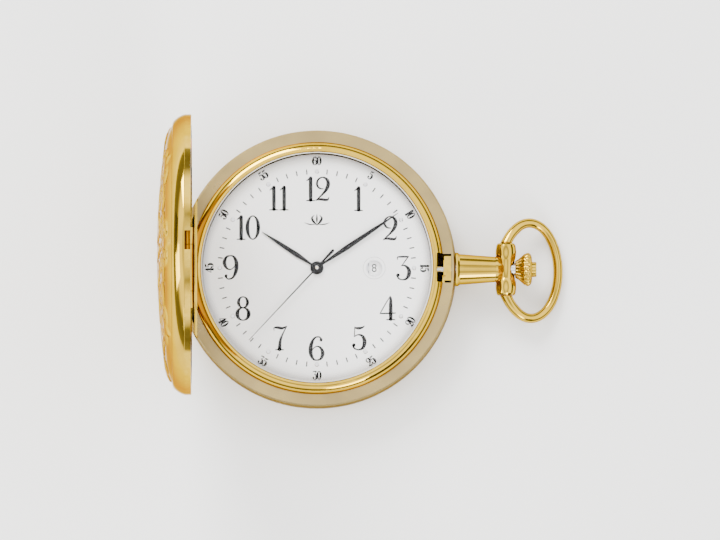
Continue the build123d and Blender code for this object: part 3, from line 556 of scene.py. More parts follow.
@dataclass(frozen=True)
class Glyph:
    """A numeral drawn with swelling strokes: x, y and half width, for a height of 1."""

    strokes: tuple[Stroke, ...]
    width: float

    def turned(self) -> "Glyph":
        """Return the glyph turned by half a turn."""
        flipped = tuple(tuple((-x, 1 - y, w) for x, y, w in stroke) for stroke in self.strokes)
        return Glyph(flipped, self.width)


def oval(centre: float, wide: float, high: float, side: float, thin: float = 0.022) -> Stroke:
    """Return a closed oval stroke that is thick at its sides and thin at its top and foot.

    Args:
        centre: height of its middle.
        wide: half its width.
        high: half its height.
        side: half width of the line at the sides.
        thin: half width of the line at the top and foot.

    Returns:
        The stroke's points.
    """
    points = []
    for step in range(17):
        angle = FULL_TURN * step / 16
        weight = thin + (side - thin) * math.cos(angle) ** 2
        points.append((wide * math.cos(angle), centre + high * math.sin(angle), weight))
    return tuple(points)


def serif(left: float, middle: float, right: float) -> Stroke:
    """Return the thin serif under a stem."""
    return ((left, 0.016, 0.018), (middle, 0.022, 0.024), (right, 0.016, 0.018))


BALL = ((-0.20, 0.205, 0.056), (-0.195, 0.215, 0.056))
SIX = Glyph(
    (
        ((0.17, 0.84, 0.050), (0.18, 0.87, 0.045)),
        ((0.19, 0.88, 0.030), (0.08, 0.975, 0.024), (-0.11, 0.91, 0.036), (-0.24, 0.62, 0.066),
         (-0.25, 0.30, 0.068), (-0.15, 0.07, 0.040), (0.0, 0.018, 0.024), (0.16, 0.08, 0.042),
         (0.24, 0.29, 0.066), (0.17, 0.50, 0.044), (0.02, 0.585, 0.022), (-0.13, 0.51, 0.018),
         (-0.22, 0.37, 0.018)),
    ),
    0.60,
)
GLYPHS = {
    "0": Glyph((oval(0.5, 0.225, 0.478, 0.066),), 0.58),
    "1": Glyph(
        (
            ((0.02, 0.03, 0.062), (0.02, 0.50, 0.066), (0.02, 0.94, 0.062)),
            ((0.06, 0.985, 0.014), (-0.05, 0.90, 0.030), (-0.15, 0.83, 0.012)),
            serif(-0.15, 0.0, 0.18),
        ),
        0.42,
    ),
    "2": Glyph(
        (
            ((0.03, 0.50, 0.016), (-0.13, 0.53, 0.030), (-0.23, 0.68, 0.040), (-0.18, 0.88, 0.032),
             (0.0, 0.978, 0.024), (0.18, 0.88, 0.052), (0.23, 0.69, 0.068), (0.15, 0.47, 0.058),
             (-0.01, 0.27, 0.034), (-0.20, 0.09, 0.022), (-0.26, 0.02, 0.018)),
            ((-0.26, 0.045, 0.022), (-0.08, 0.07, 0.044), (0.10, 0.045, 0.046), (0.21, 0.06, 0.036),
             (0.26, 0.16, 0.012)),
        ),
        0.60,
    ),
    "3": Glyph(
        (
            ((-0.22, 0.85, 0.012), (-0.21, 0.95, 0.022), (0.0, 0.965, 0.034), (0.22, 0.965, 0.026)),
            ((0.22, 0.965, 0.020), (0.10, 0.80, 0.018), (-0.03, 0.615, 0.016)),
            ((-0.06, 0.60, 0.018), (0.09, 0.595, 0.032), (0.23, 0.46, 0.062), (0.25, 0.26, 0.072),
             (0.15, 0.07, 0.046), (-0.01, 0.018, 0.024), (-0.17, 0.07, 0.028), (-0.24, 0.20, 0.036)),
            BALL,
        ),
        0.60,
    ),
    "4": Glyph(
        (
            ((0.10, 0.985, 0.012), (0.12, 0.86, 0.048), (0.12, 0.50, 0.066), (0.12, 0.03, 0.062)),
            ((0.10, 0.985, 0.014), (-0.12, 0.62, 0.018), (-0.31, 0.28, 0.018)),
            ((-0.31, 0.27, 0.020), (0.0, 0.275, 0.026), (0.31, 0.29, 0.020)),
            serif(-0.05, 0.12, 0.29),
        ),
        0.66,
    ),
    "5": Glyph(
        (
            ((-0.16, 0.93, 0.022), (-0.02, 0.90, 0.046), (0.14, 0.93, 0.036), (0.24, 1.0, 0.010)),
            ((-0.16, 0.95, 0.018), (-0.17, 0.75, 0.016), (-0.18, 0.56, 0.016)),
            ((-0.18, 0.56, 0.018), (-0.02, 0.635, 0.024), (0.16, 0.57, 0.050), (0.24, 0.34, 0.072),
             (0.17, 0.10, 0.052), (0.0, 0.018, 0.026), (-0.17, 0.07, 0.028), (-0.24, 0.20, 0.036)),
            BALL,
        ),
        0.60,
    ),
    "6": SIX,
    "7": Glyph(
        (
            ((-0.25, 0.82, 0.012), (-0.25, 0.92, 0.022), (-0.10, 0.93, 0.048), (0.08, 0.90, 0.044),
             (0.27, 0.99, 0.012)),
            ((0.26, 0.975, 0.018), (0.12, 0.70, 0.024), (0.01, 0.42, 0.046), (-0.03, 0.03, 0.066)),
            serif(-0.19, -0.03, 0.13),
        ),
        0.60,
    ),
    "8": Glyph((oval(0.755, 0.185, 0.222, 0.054), oval(0.275, 0.235, 0.256, 0.068)), 0.60),
    "9": SIX.turned(),
}


@dataclass(frozen=True)
class Numeral:
    """An hour numeral and the place of its middle, in millimetres."""

    text: str
    x: float
    y: float


HOURS = (
    Numeral("12", 0.1, 13.7), Numeral("1", 7.1, 12.0), Numeral("2", 12.6, 6.9),
    Numeral("3", 14.8, 0.0), Numeral("4", 12.2, -6.9), Numeral("5", 7.2, -12.1),
    Numeral("6", 0.0, -13.9), Numeral("7", -6.3, -12.1), Numeral("8", -12.7, -7.0),
    Numeral("9", -14.9, 0.1), Numeral("10", -11.9, 7.0), Numeral("11", -6.6, 12.1),
)


@dataclass
class InkSheet:
    """Flat swelling strokes gathered in one mesh at one level."""

    level: float
    weight: float = 1.18
    shape: bmesh.types.BMesh = field(default_factory=bmesh.new)

    def disc(self, x: float, y: float, radius: float) -> None:
        """Add a small filled disc."""
        place = Matrix.Translation((x, y, self.level))
        bmesh.ops.create_circle(self.shape, cap_ends=True, segments=14, radius=radius, matrix=place)

    def stroke(self, points: Iterable[tuple[float, float, float]], steps: int = 9) -> None:
        """Add a smooth line whose width follows its points.

        Args:
            points: x, y and half width of each point, in metres.
            steps: samples between two points.
        """
        points = [Vector(point) for point in points]
        line = []
        for index in range(len(points) - 1):
            before = points[max(index - 1, 0)]
            start, end = points[index], points[index + 1]
            after = points[min(index + 2, len(points) - 1)]
            for step in range(steps):
                t = step / steps
                pull, bend = (end - before), (before * 2 - start * 5 + end * 4 - after)
                turn = -before + start * 3 - end * 3 + after
                line.append((start * 2 + pull * t + bend * t * t + turn * t**3) / 2)
        line.append(points[-1])
        pairs = []
        for index, point in enumerate(line):
            ahead, behind = line[min(index + 1, len(line) - 1)], line[max(index - 1, 0)]
            way = Vector((ahead.x - behind.x, ahead.y - behind.y))
            side = Vector((-way.y, way.x)).normalized() * max(point.z, 0.0)
            left = self.shape.verts.new((point.x + side.x, point.y + side.y, self.level))
            right = self.shape.verts.new((point.x - side.x, point.y - side.y, self.level))
            pairs.append((left, right))
        for (left, right), (next_left, next_right) in zip(pairs, pairs[1:]):
            self.shape.faces.new((right, next_right, next_left, left))
        for end in (line[0], line[-1]):
            self.disc(end.x, end.y, end.z)

    def ring(self, x: float, y: float, radius: float, half_width: float) -> None:
        """Add a thin printed circle."""
        round_trip = [FULL_TURN * step / 48 for step in range(49)]
        self.stroke([(x + radius * math.cos(a), y + radius * math.sin(a), half_width) for a in round_trip], 2)

    def bar(self, angle: float, inner: float, outer: float, half_width: float) -> None:
        """Add a straight radial bar."""
        along = Vector((math.cos(angle), math.sin(angle)))
        across = Vector((-along.y, along.x)) * half_width
        near, far = along * inner, along * outer
        corners = (near - across, far - across, far + across, near + across)
        self.shape.faces.new([self.shape.verts.new((corner.x, corner.y, self.level)) for corner in corners])

    def numeral(self, text: str, x: float, y: float, height: float, tilt: float = 0.0,
                squeeze: float = 1.0) -> None:
        """Add a numeral centred on a point.

        Args:
            text: its digits.
            x: the middle, across.
            y: the middle, up.
            height: its height.
            tilt: its turn about its middle.
            squeeze: share of its full width.
        """
        widths = [GLYPHS[digit].width for digit in text]
        left = -sum(widths) / 2
        turn = Matrix.Rotation(tilt, 2)
        for digit, width in zip(text, widths):
            middle = left + width / 2
            for stroke in GLYPHS[digit].strokes:
                placed = []
                for px, py, w in stroke:
                    spot = turn @ Vector(((px + middle) * squeeze, py - 0.5)) * height
                    placed.append((x + spot.x, y + spot.y, w * height * self.weight))
                self.stroke(placed)
            left += width

    def finish(self, name: str) -> bpy.types.Mesh:
        """Turn every face to the front and return the mesh."""
        for face in self.shape.faces:
            face.normal_update()
            if face.normal.z < 0:
                face.normal_flip()
        return mesh_of(name, self.shape, smooth=False)


@dataclass
class DialPrint:
    """The numerals, ticks and circles printed on the dial."""

    shop: Workshop
    numeral_height: float = 4.2 * MM
    tick_circle: float = 16.7 * MM
    tick_length: float = 0.85 * MM
    tick_width: float = 0.2 * MM
    minute_circle: float = 18.55 * MM
    minute_height: float = 1.45 * MM
    minute_weight: float = 1.95
    minute_squeeze: float = 0.85
    circle_radius: float = 1.9 * MM
    circle_line: float = 0.028 * MM
    ornament_place: float = 8.3 * MM

    def __post_init__(self) -> None:
        """Take the dial's face and window from the frame."""
        self.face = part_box("dial")[1].z + 0.02 * MM
        low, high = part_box("date_frame")
        self.window = (low + high) / 2

    def build(self) -> None:
        """Print every mark."""
        numerals = InkSheet(self.face)
        for hour in HOURS:
            numerals.numeral(hour.text, hour.x * MM, hour.y * MM, self.numeral_height)
        self._keep(numerals.finish("hour_numerals"), "black_ink")
        self._ticks()
        self._minutes()
        self._circles()
        self._ornament()

    def _keep(self, mesh: bpy.types.Mesh, finish: str) -> bpy.types.Object:
        """Keep a printed mesh on the case."""
        return self.shop.keep(mesh, mesh.name, finish, Body.CASE, "black_hands")

    def _ticks(self) -> None:
        """Print a tick for each minute without a pip."""
        ticks = InkSheet(self.face)
        inner = self.tick_circle - self.tick_length / 2
        for minute in range(60):
            if minute % 5:
                angle = FULL_TURN * minute / 60
                ticks.bar(angle, inner, inner + self.tick_length, self.tick_width / 2)
        self._keep(ticks.finish("minute_ticks"), "black_ink")

    def _minutes(self) -> None:
        """Print 5 to 60 round the rim, upright in the upper half and turned in the lower."""
        numbers = InkSheet(self.face, weight=self.minute_weight)
        for minute in range(5, 61, 5):
            turn = -FULL_TURN * minute / 60
            inward = 15 < minute < 45
            middle = Matrix.Rotation(turn, 3, "Z") @ Vector((0, self.minute_circle, 0))
            tilt = turn + (math.pi if inward else 0.0)
            numbers.numeral(str(minute), middle.x, middle.y, self.minute_height, tilt, self.minute_squeeze)
        self._keep(numbers.finish("minute_numbers"), "black_ink")

    def _circles(self) -> None:
        """Print a fine circle round the date window."""
        circles = InkSheet(self.face)
        circles.ring(self.window.x, self.window.y, self.circle_radius, self.circle_line)
        self._keep(circles.finish("date_circle"), "grey_ink")

    def _ornament(self) -> None:
        """Print a plain leaf ornament under the 12."""
        leaf = InkSheet(self.face)
        middle = self.ornament_place
        for side in (-1, 1):
            curl = ((0.0, -0.9, 0.05), (0.55, -0.3, 0.20), (0.85, 0.35, 0.16), (0.45, 0.85, 0.03))
            leaf.stroke([(side * x * MM, middle + y * MM, w * MM) for x, y, w in curl])
            wing = ((0.25, -0.75, 0.03), (1.2, -0.75, 0.10), (2.2, -0.45, 0.02))
            leaf.stroke([(side * x * MM, middle + y * MM, w * MM) for x, y, w in wing])
        leaf.stroke([(0, middle + y * MM, w * MM) for y, w in ((-0.7, 0.03), (0.2, 0.16), (1.1, 0.02))])
        self._keep(leaf.finish("dial_ornament"), "black_ink")


def number(text: str, height: float, squeeze: float, place: Matrix) -> bpy.types.Object:
    """Make a number with the built-in font, centred and put in place.

    Args:
        text: the number's digits.
        height: digit height in metres.
        squeeze: share of the font's own width.
        place: where its middle goes.

    Returns:
        The text object.
    """
    data = bpy.data.curves.new("number", "FONT")
    data.body = text
    data.align_x, data.align_y = "CENTER", "CENTER"
    data.size = height / DIGIT_SHARE
    item = placed("number", data)
    item.matrix_world = place @ Matrix.Diagonal((squeeze, 1.0, 1.0, 1.0))
    return item


@dataclass
class DateNumbers:
    """The 31 days printed on the date ring, with the 8th in the window."""

    shop: Workshop
    days: int = 31
    shown: int = 8
    height: float = 1.45 * MM
    single_width: float = 0.95
    double_width: float = 0.66

    def build(self) -> None:
        """Print every day; the next day stands one step anticlockwise."""
        low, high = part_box("date_frame")
        window = (low + high) / 2
        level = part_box("date_disc")[1].z + 0.01 * MM
        texts = []
        for day in range(1, self.days + 1):
            turn = FULL_TURN * (day - self.shown) / self.days
            place = Matrix.Rotation(turn, 4, "Z") @ Matrix.Translation((window.x, 0, level))
            squeeze = self.single_width if day < 10 else self.double_width
            texts.append(number(str(day), self.height, squeeze, place))
        mesh = joined("date_numbers", texts)
        self.shop.keep(mesh, "date_numbers", "black_ink", Body.DATE_RING, "black_hands")


# ------------------------------------------------------------------ lid


def arc(start: Point, middle: Point, end: Point, steps: int) -> list[Point]:
    """Return points along the arc through three points, without its start.

    Args:
        start: where it starts.
        middle: a point on it.
        end: where it ends.
        steps: how many points to return.

    Returns:
        The points, the last of which is the end.
    """
    (ax, ay), (bx, by), (cx, cy) = start, middle, end
    turn = 2 * (ax * (by - cy) + bx * (cy - ay) + cx * (ay - by))
    a2, b2, c2 = ax * ax + ay * ay, bx * bx + by * by, cx * cx + cy * cy
    x = (a2 * (by - cy) + b2 * (cy - ay) + c2 * (ay - by)) / turn
    y = (a2 * (cx - bx) + b2 * (ax - cx) + c2 * (bx - ax)) / turn
    radius = math.hypot(ax - x, ay - y)
    first, last = math.atan2(ay - y, ax - x), math.atan2(cy - y, cx - x)
    sweep = math.remainder(last - first, FULL_TURN)
    angles = [first + sweep * step / steps for step in range(1, steps + 1)]
    return [(x + radius * math.cos(a), y + radius * math.sin(a)) for a in angles]


@dataclass
class EngravedLid:
    """The lid's domed cover with its scrolls cut in low relief."""

    shop: Workshop
    sectors: int = 8
    around: int = 512
    cut: float = 0.26
    sheet: float = 0.45
    engraved_radius: float = 22.35
    bead_depth: float = 0.1
    bead_width: float = 0.3
    boss_radius: float = 2.3
    foot: float = 1.05

    def __post_init__(self) -> None:
        """Take the lid's place and size from the frame, in millimetres."""
        low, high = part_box("lid_cover")
        self.apex = low.x / MM
        self.foot_x = high.x / MM
        self.axis_z = (low.z + high.z) / 2 / MM
        self.radius = (high.z - low.z) / 2 / MM
        self.depth = self.foot_x + self.foot - self.apex
        self.scrolls = self._scrolls()

    def _scrolls(self) -> list[tuple[float, float, float]]:
        """Return dots along one sector's scrolls, leaves and petals: x, y and half width."""
        lines = [
            self._leaf((2.6, 0.0), (8.4, 0.0), 1.45),
            self._leaf((9.0, 0.0), (12.0, 0.0), 0.8),
            self._leaf((17.0, 0.0), (21.8, 0.0), 1.2),
            self._leaf((12.5, 4.9), (17.4, 6.2), 0.9),
        ]
        for side in (1, -1):
            lines.append(self._spiral(14.6, 0.0, 3.3, 1.45, side, 0.62))
            lines.append(self._spiral(19.3, 0.19 * side, 1.9, 1.2, -side, 0.42))
            lines.append(self._leaf((6.2, 2.4 * side), (10.8, 3.4 * side), 0.85))
        return [dot for line in lines for dot in line]

    def _spiral(self, distance: float, offset: float, size: float, turns: float, way: int,
                width: float) -> list[tuple[float, float, float]]:
        """Return a scroll that winds in from the sector's middle line."""
        side = Vector((math.cos(offset), math.sin(offset))) * distance
        eye = side + Vector((0, way * size * 0.95))
        dots = []
        for step in range(60):
            t = step / 59
            reach = size * (1 - 0.82 * t)
            angle = -way * math.pi / 2 + way * FULL_TURN * turns * t
            dots.append((eye.x + reach * math.cos(angle), eye.y + reach * math.sin(angle),
                         width * (1 - 0.45 * t)))
        dots.append((eye.x, eye.y, width * 1.25))
        return dots

    def _leaf(self, start: Point, end: Point, width: float) -> list[tuple[float, float, float]]:
        """Return a pointed leaf between two points."""
        dots = []
        for step in range(24):
            t = step / 23
            x, y = start[0] + (end[0] - start[0]) * t, start[1] + (end[1] - start[1]) * t
            dots.append((x, y, max(width * math.sin(math.pi * t) ** 0.8, 0.08)))
        return dots

    def relief(self, radius: float, angle: float) -> float:
        """Return how high the pattern stands at a point of the dome, from 0 to 1.

        Args:
            radius: distance from the lid's axis in millimetres.
            angle: angle round the axis.

        Returns:
            The height, 0 on the ground and 1 on top of a leaf.
        """
        if radius < self.boss_radius:
            return 1.0 - 0.5 * abs(math.sin(radius * 4.0))
        pitch = FULL_TURN / self.sectors
        folded = math.remainder(angle, pitch)
        best = 0.0
        for turn in (folded, folded - pitch, folded + pitch):
            x, y = radius * math.cos(turn), radius * math.sin(turn)
            for dot_x, dot_y, width in self.scrolls:
                gap = ((x - dot_x) ** 2 + (y - dot_y) ** 2) / (width * width)
                if gap < 1.0:
                    vein = 0.82 + 0.18 * abs(math.sin(gap * 5.0))
                    best = max(best, min(1.0, 1.5 * math.sqrt(1.0 - gap)) * vein)
        return best

    def profile(self) -> tuple[list[Point], list[Point]]:
        """Return the outer and the inner half section as radius and depth, from foot to axis."""
        sides = []
        for inset in (0.0, self.sheet):
            foot = (self.radius - inset, self.foot)
            waist = (self.radius - 1.15 - inset, 0.51 * self.depth)
            swell = (self.radius - 0.52 - inset, 0.39 * self.depth)
            slope = (self.radius - 2.9 - inset, 0.69 * self.depth - inset * 0.8)
            shoulder = (self.radius - 5.45 - inset, 0.795 * self.depth - inset)
            top = self.depth - inset
            centre = (top * top - shoulder[1] ** 2 - shoulder[0] ** 2) / (2 * (top - shoulder[1]))
            reach = top - centre
            half = math.atan2(shoulder[0], shoulder[1] - centre) / 2
            crown = (reach * math.sin(half), centre + reach * math.cos(half))
            fine = 1 if inset == 0.0 else 0
            line = [foot] + arc(foot, swell, waist, 10 + 4 * fine)
            line += arc(waist, slope, shoulder, 8 + 18 * fine)
            line += arc(shoulder, crown, (0.0, top), 14 + 66 * fine)
            sides.append(line)
        return sides[0], sides[1]

    def build(self) -> None:
        """Make the cover and put it in the CAD cover's place."""
        outer, inner = self.profile()
        shape = bmesh.new()
        relief = shape.verts.layers.float.new("relief")
        outer_rings = [self._ring(shape, relief, point, True) for point in outer[:-1]]
        inner_rings = [self._ring(shape, relief, point, False) for point in inner[:-1]]
        top = self._point(shape, outer[-1], 0.0, 0.0)
        top[relief] = 1.0
        under = self._point(shape, inner[-1], 0.0, 0.0)
        for rings, pole in ((outer_rings, top), (inner_rings, under)):
            for first, second in zip(rings, rings[1:]):
                bridge(shape, first, second)
            for index in range(self.around):
                shape.faces.new((rings[-1][index], rings[-1][(index + 1) % self.around], pole))
        bridge(shape, outer_rings[0], inner_rings[0])
        bmesh.ops.recalc_face_normals(shape, faces=shape.faces)
        engraved = {vert for ring in outer_rings for vert in ring if self._reach(vert) < self.engraved_radius}
        engraved.add(top)
        for face in shape.faces:
            face.material_index = int(all(vert in engraved for vert in face.verts))
        mesh = mesh_of("engraved_lid_cover", shape)
        piece = self.shop.keep(mesh, "engraved_lid_cover", "polished_gold", Body.LID, "polished_gold")
        piece.data.materials.append(self.shop.materials["engraved_gold"])
        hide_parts("lid_cover")

    def _reach(self, vert: Vert) -> float:
        """Return a vertex's distance from the lid's axis in millimetres."""
        return math.hypot(vert.co.y, vert.co.z - self.axis_z * MM) / MM

    def _point(self, shape: bmesh.types.BMesh, point: Point, angle: float, cut: float) -> Vert:
        """Add a vertex at a radius and depth, lowered by a cut."""
        radius, depth = point
        height = depth - cut
        place = Vector((self.foot_x + self.foot - height, radius * math.cos(angle),
                        self.axis_z + radius * math.sin(angle)))
        return shape.verts.new(place * MM)

    def _ring(self, shape: bmesh.types.BMesh, layer: bmesh.types.BMLayerItem, point: Point,
              outside: bool) -> list[Vert]:
        """Add a ring of vertices, cut where the pattern's ground lies."""
        ring = []
        radius = point[0]
        angles = turns(self.around)
        engraved = outside and radius < self.engraved_radius
        repeat = angles[:self.around // self.sectors] if engraved else []
        sector = [self.relief(radius, angle) for angle in repeat]
        for index, angle in enumerate(angles):
            height, cut = 1.0, 0.0
            if engraved:
                height = sector[index % len(sector)]
                cut = self.cut * (1.0 - height)
            elif outside and radius < self.engraved_radius + self.bead_width:
                across = math.pi * (radius - self.engraved_radius) / self.bead_width
                cut = self.bead_depth * math.sin(across)
            vert = self._point(shape, point, angle, cut)
            vert[layer] = height
            ring.append(vert)
        return ring


# ------------------------------------------------------------------ carried CAD parts


@dataclass
class CarriedParts:
    """Dresses the CAD nodes, and softens the edges of the hour and minute hands."""

    shop: Workshop
    nodes: dict[str, bpy.types.Object]
    record: dict

    def build(self) -> None:
        """Give every node the finish of its material slot."""
        for part in self.record["subparts"]:
            self.shop.dress(self.nodes[part["node"]], part["material_slot"])
        for name in ("hour_hand", "minute_hand"):
            crest = self.nodes[name].modifiers.new("crest", "BEVEL")
            crest.width = 0.06 * MM
            crest.segments = 2
            crest.limit_method = "ANGLE"
            crest.harden_normals = False


@dataclass
class CentrePin:
    """The small bright tube end in the middle of the hands."""

    shop: Workshop
    radius: float = 0.3 * MM

    def build(self) -> None:
        """Spin the pin's section and ride it on the seconds hand."""
        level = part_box("second_hand")[1].z
        section = ((0.4, -0.02), (1.0, -0.02), (1.0, 0.06), (0.85, 0.1), (0.5, 0.1), (0.4, 0.05))
        shape = bmesh.new()
        verts = [shape.verts.new((x * self.radius, 0, level + z * MM)) for x, z in section]
        edges = [shape.edges.new(pair) for pair in zip(verts, verts[1:] + verts[:1])]
        bmesh.ops.spin(shape, geom=verts + edges, axis=(0, 0, 1), cent=(0, 0, 0), angle=FULL_TURN, steps=40,
                       use_merge=True)
        bmesh.ops.remove_doubles(shape, verts=shape.verts, dist=1e-8)
        bmesh.ops.recalc_face_normals(shape, faces=shape.faces)
        mesh = mesh_of("centre_pin", shape)
        self.shop.keep(mesh, "centre_pin", "silver_trim", Body.SECONDS, "silver_trim")


# ------------------------------------------------------------------ bow and crown


@dataclass
class TaperedBow:
    """The oval bow, a round wire that thickens towards the pendant."""

    shop: Workshop
    wire: float = 0.8
    root: float = 1.02
    taper: float = 0.22
    half_length: float = 5.3
    seam_gap: float = 0.08
    seam_shift: float = 0.2
    ease_steps: int = 12
    steps: int = 144
    around: int = 28

    def __post_init__(self) -> None:
        """Take the oval from the bow's box and its pivot from the pendant head's, in millimetres."""
        low, high = (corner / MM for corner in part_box("bow"))
        head_low, head_high = (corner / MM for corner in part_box("pendant_head"))
        self.pivot = Vector(((head_low.x + head_high.x) / 2, 0.0, (head_low.z + head_high.z) / 2))
        self.seam = head_high.y + self.seam_gap
        self.half_width = high.y - self.wire
        run, drop = high.x - self.wire - self.pivot.x, self.pivot.z - self.wire - low.z
        self.way = Vector((run, 0.0, -drop)).normalized()
        self.reach = math.hypot(run, drop)

    def build(self) -> None:
        """Sweep the wire from seam to seam."""
        first = math.asin(self.seam / self.half_width)
        sweep = FULL_TURN - 2 * first
        up = self.way.cross(Vector((0, 1, 0))).normalized()
        shape = bmesh.new()
        rings = []
        for step in range(self.steps + 1):
            t = step / self.steps
            angle = first + sweep * t
            middle = (self.reach - self.half_length - self.half_length * math.cos(angle),
                      self.half_width * math.sin(angle))
            tangent = Vector((self.half_length * math.sin(angle), self.half_width * math.cos(angle)))
            tangent.normalize()
            near = max(0.0, 1 - min(t, 1 - t) / self.taper)
            radius = self.wire + (self.root - self.wire) * near * near
            bent = self.way * tangent.y - Vector((0, 1, 0)) * tangent.x
            ease = min(1.0, min(step, self.steps - step) / self.ease_steps)
            straight = self.way * math.copysign(1.0, tangent.y)
            side = straight.lerp(bent, ease).normalized()
            along = self.way * (middle[0] - self.seam_shift * (1 - ease))
            centre = self.pivot + along + Vector((0, middle[1], 0))
            ring = [centre + side * (radius * math.cos(a)) + up * (radius * math.sin(a))
                    for a in turns(self.around)]
            rings.append([shape.verts.new(point * MM) for point in ring])
        for first_ring, next_ring in zip(rings, rings[1:]):
            bridge(shape, first_ring, next_ring)
        shape.faces.new(rings[0])
        shape.faces.new(rings[-1])
        bmesh.ops.recalc_face_normals(shape, faces=shape.faces)
        mesh = mesh_of("tapered_bow", shape)
        piece = self.shop.keep(mesh, "tapered_bow", "polished_gold", Body.BOW, "polished_gold")
        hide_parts("bow")


@dataclass
class FlutedCrown:
    """The crown: a fluted cone, a beaded band and a round front."""

    shop: Workshop
    flutes: int = 18
    around: int = 360
    recess_depth: float = 1.08
    bore: float = 0.45
    hole: float = 0.27

    def build(self) -> None:
        """Make rings along the stem and join them."""
        low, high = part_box("crown")
        centre = (low + high) / 2
        radius, length = (high.y - low.y) / 2, high.x - low.x
        bore, hole = self.bore, self.hole
        recess = 1 - self.recess_depth / (length / MM)
        section = (
            (-0.075, bore, 0.0), (-0.075, 0.50, 0.0), (-0.03, 0.535, 0.03), (0.10, 0.60, 0.12),
            (0.30, 0.76, 0.17), (0.46, 0.90, 0.17), (0.52, 0.945, 0.06), (0.55, 0.925, 0.02),
            (0.58, 0.955, 0.05), (0.66, 1.0, 0.09), (0.76, 1.0, 0.10), (0.84, 0.975, 0.08),
            (0.885, 0.93, 0.03), (0.94, 0.86, 0.0), (0.985, 0.74, 0.0), (1.0, 0.62, 0.0), (1.0, 0.49, 0.0),
            (recess, 0.49, 0.0), (recess, hole, 0.0), (0.2, hole, 0.0), (0.2, bore, 0.0),
        )
        shape = bmesh.new()
        rings = []
        for along, wide, depth in section:
            ring = []
            for angle in turns(self.around):
                ridge = abs(math.sin(self.flutes * angle / 2))
                reach = radius * wide * (1 - depth * (1 - ridge**0.7))
                place = (low.x + along * length, centre.y + reach * math.cos(angle),
                         centre.z + reach * math.sin(angle))
                ring.append(shape.verts.new(place))
            rings.append(ring)
        for first, second in zip(rings, rings[1:] + rings[:1]):
            bridge(shape, first, second)
        bmesh.ops.recalc_face_normals(shape, faces=shape.faces)
        mesh = mesh_of("fluted_crown", shape)
        piece = self.shop.keep(mesh, "fluted_crown", "polished_gold", Body.CROWN, "polished_gold")
        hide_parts("crown")


# ------------------------------------------------------------------ studio


@dataclass(frozen=True)
class SoftBox:
    """A square area light aimed at the watch."""

    name: str
    place: Point
    height: float
    size: float
    power: float

    def build(self, target: Vector) -> None:
        """Hang the light.

        Args:
            target: what it points at.
        """
        data = bpy.data.lights.new(self.name, "AREA")
        data.size = self.size
        data.energy = self.power
        light = placed(self.name, data)
        light.location = (*self.place, self.height)
        light.rotation_euler = (target - light.location).to_track_quat("-Z", "Y").to_euler()


@dataclass(frozen=True)
class DarkCard:
    """A dark upright card whose reflection draws a line on the gold."""

    name: str
    azimuth: float
    distance: float
    low: float
    high: float
    width: float
    shade: float = 0.02

    def build(self) -> None:
        """Stand the card round the watch."""
        shape = bmesh.new()
        turn = Matrix.Rotation(math.radians(self.azimuth), 4, "Z")
        corners = ((-self.width / 2, self.low), (self.width / 2, self.low), (self.width / 2, self.high),
                   (-self.width / 2, self.high))
        shape.faces.new([shape.verts.new(turn @ Vector((x, self.distance, z))) for x, z in corners])
        card = placed(self.name, mesh_of(self.name, shape, smooth=False))
        card.data.materials.append(plain(self.name, (self.shade,) * 3, 0.9))


def plain(name: str, colour: Colour, gloss: float) -> bpy.types.Material:
    """Return a plain stage material."""
    material = bpy.data.materials.new(name)
    material.use_nodes = True
    surface = material.node_tree.nodes["Principled BSDF"]
    NodeSheet(material.node_tree).fill(surface, {"Base Color": colour, "Roughness": gloss})
    return material


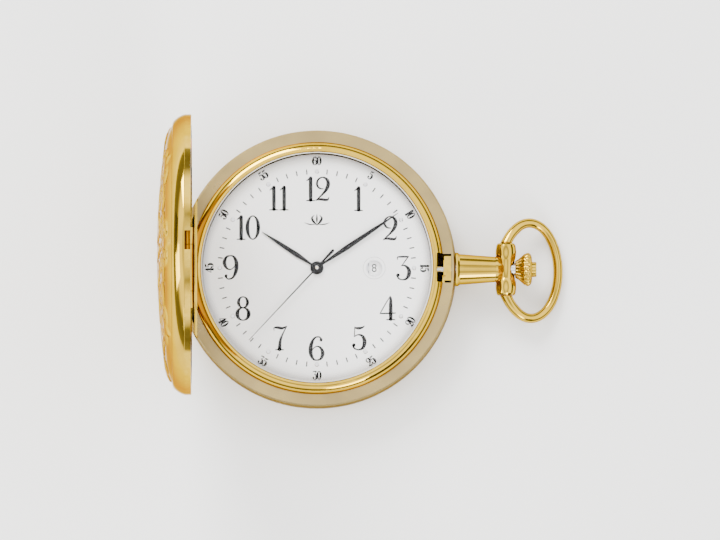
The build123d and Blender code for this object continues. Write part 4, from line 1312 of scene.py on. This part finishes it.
@dataclass
class Studio:
    """The floor, the lights and the camera."""

    tilt: float = 6.0
    reach: float = 4.0
    view_width: float = 0.1239
    brightness: float = 3.4
    floor_half: float = 1.5
    floor_grey: float = 0.93
    sensor: float = 36.0
    sky: tuple[tuple[float, float], ...] = (
        (0.0, 0.16), (0.16, 0.03), (0.34, 0.12), (0.52, 1.0), (0.78, 1.05), (0.89, 0.28), (1.0, 0.12),
    )
    aim: Vector = field(default_factory=lambda: Vector((7.42, -0.33, 7.4)) * MM)

    def build(self) -> None:
        """Set up everything round the watch."""
        self._floor()
        self._sky()
        self._lights()
        self._camera()

    def _floor(self) -> None:
        """Lay a plain pale floor."""
        shape = bmesh.new()
        bmesh.ops.create_grid(shape, x_segments=1, y_segments=1, size=self.floor_half)
        floor = placed("floor", mesh_of("floor", shape, smooth=False))
        floor.data.materials.append(plain("floor", (self.floor_grey,) * 3, 0.7))

    def _sky(self) -> None:
        """Light the scene with a pale sky."""
        world = bpy.data.worlds.new("sky")
        world.use_nodes = True
        sheet = NodeSheet(world.node_tree)
        sky = world.node_tree.nodes["Background"]
        around = sheet.put("ShaderNodeTexCoord", "Generated", {})
        ramp = sheet.add("ShaderNodeValToRGB")
        stops = ramp.color_ramp.elements
        for place, level in self.sky:
            stop = stops.new(place) if place not in (0.0, 1.0) else stops[int(place)]
            stop.color = (level, level * 0.99, level * 0.96, 1.0)
        sheet.fill(ramp, {"Fac": sheet.put("ShaderNodeSeparateXYZ", "Z", {"Vector": around})})
        sheet.fill(sky, {"Color": ramp.outputs["Color"], "Strength": self.brightness})
        bpy.context.scene.world = world

    def _lights(self) -> None:
        """Hang the soft boxes and stand the dark cards."""
        for box in (
            SoftBox("upper_box", (-0.35, 0.75), 0.6, 0.45, 14.0),
            SoftBox("left_box", (-0.85, -0.15), 0.45, 0.4, 5.0),
            SoftBox("front_box", (0.25, -0.85), 0.5, 0.35, 5.0),
        ):
            box.build(self.aim)
        for card in (
            DarkCard("card_lower_right", 222, 0.34, 0.06, 0.20, 0.20),
            DarkCard("card_right", 285, 0.42, 0.03, 0.12, 0.24),
            DarkCard("card_left", 80, 0.40, 0.10, 0.24, 0.16, 0.05),
        ):
            card.build()

    def _camera(self) -> None:
        """Look down at the dial through a long lens."""
        data = bpy.data.cameras.new("camera")
        data.sensor_width = self.sensor
        data.lens = data.sensor_width * self.reach / self.view_width
        data.clip_start, data.clip_end = 0.05, 12.0
        camera = placed("camera", data)
        tilt = math.radians(self.tilt)
        camera.location = self.aim + Vector((0, -math.sin(tilt), math.cos(tilt))) * self.reach
        camera.rotation_euler = (tilt, 0, 0)
        bpy.context.scene.camera = camera


def main() -> None:
    """Dress the watch, light it and look at it."""
    logging.basicConfig(level=logging.INFO, format="%(message)s")
    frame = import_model()
    shop = Workshop()
    CarriedParts(shop, frame["nodes"], frame["record"]).build()
    DialPrint(shop).build()
    DateNumbers(shop).build()
    EngravedLid(shop).build()
    CentrePin(shop).build()
    TaperedBow(shop).build()
    FlutedCrown(shop).build()
    Studio().build()


if __name__ == "__main__":
    main()
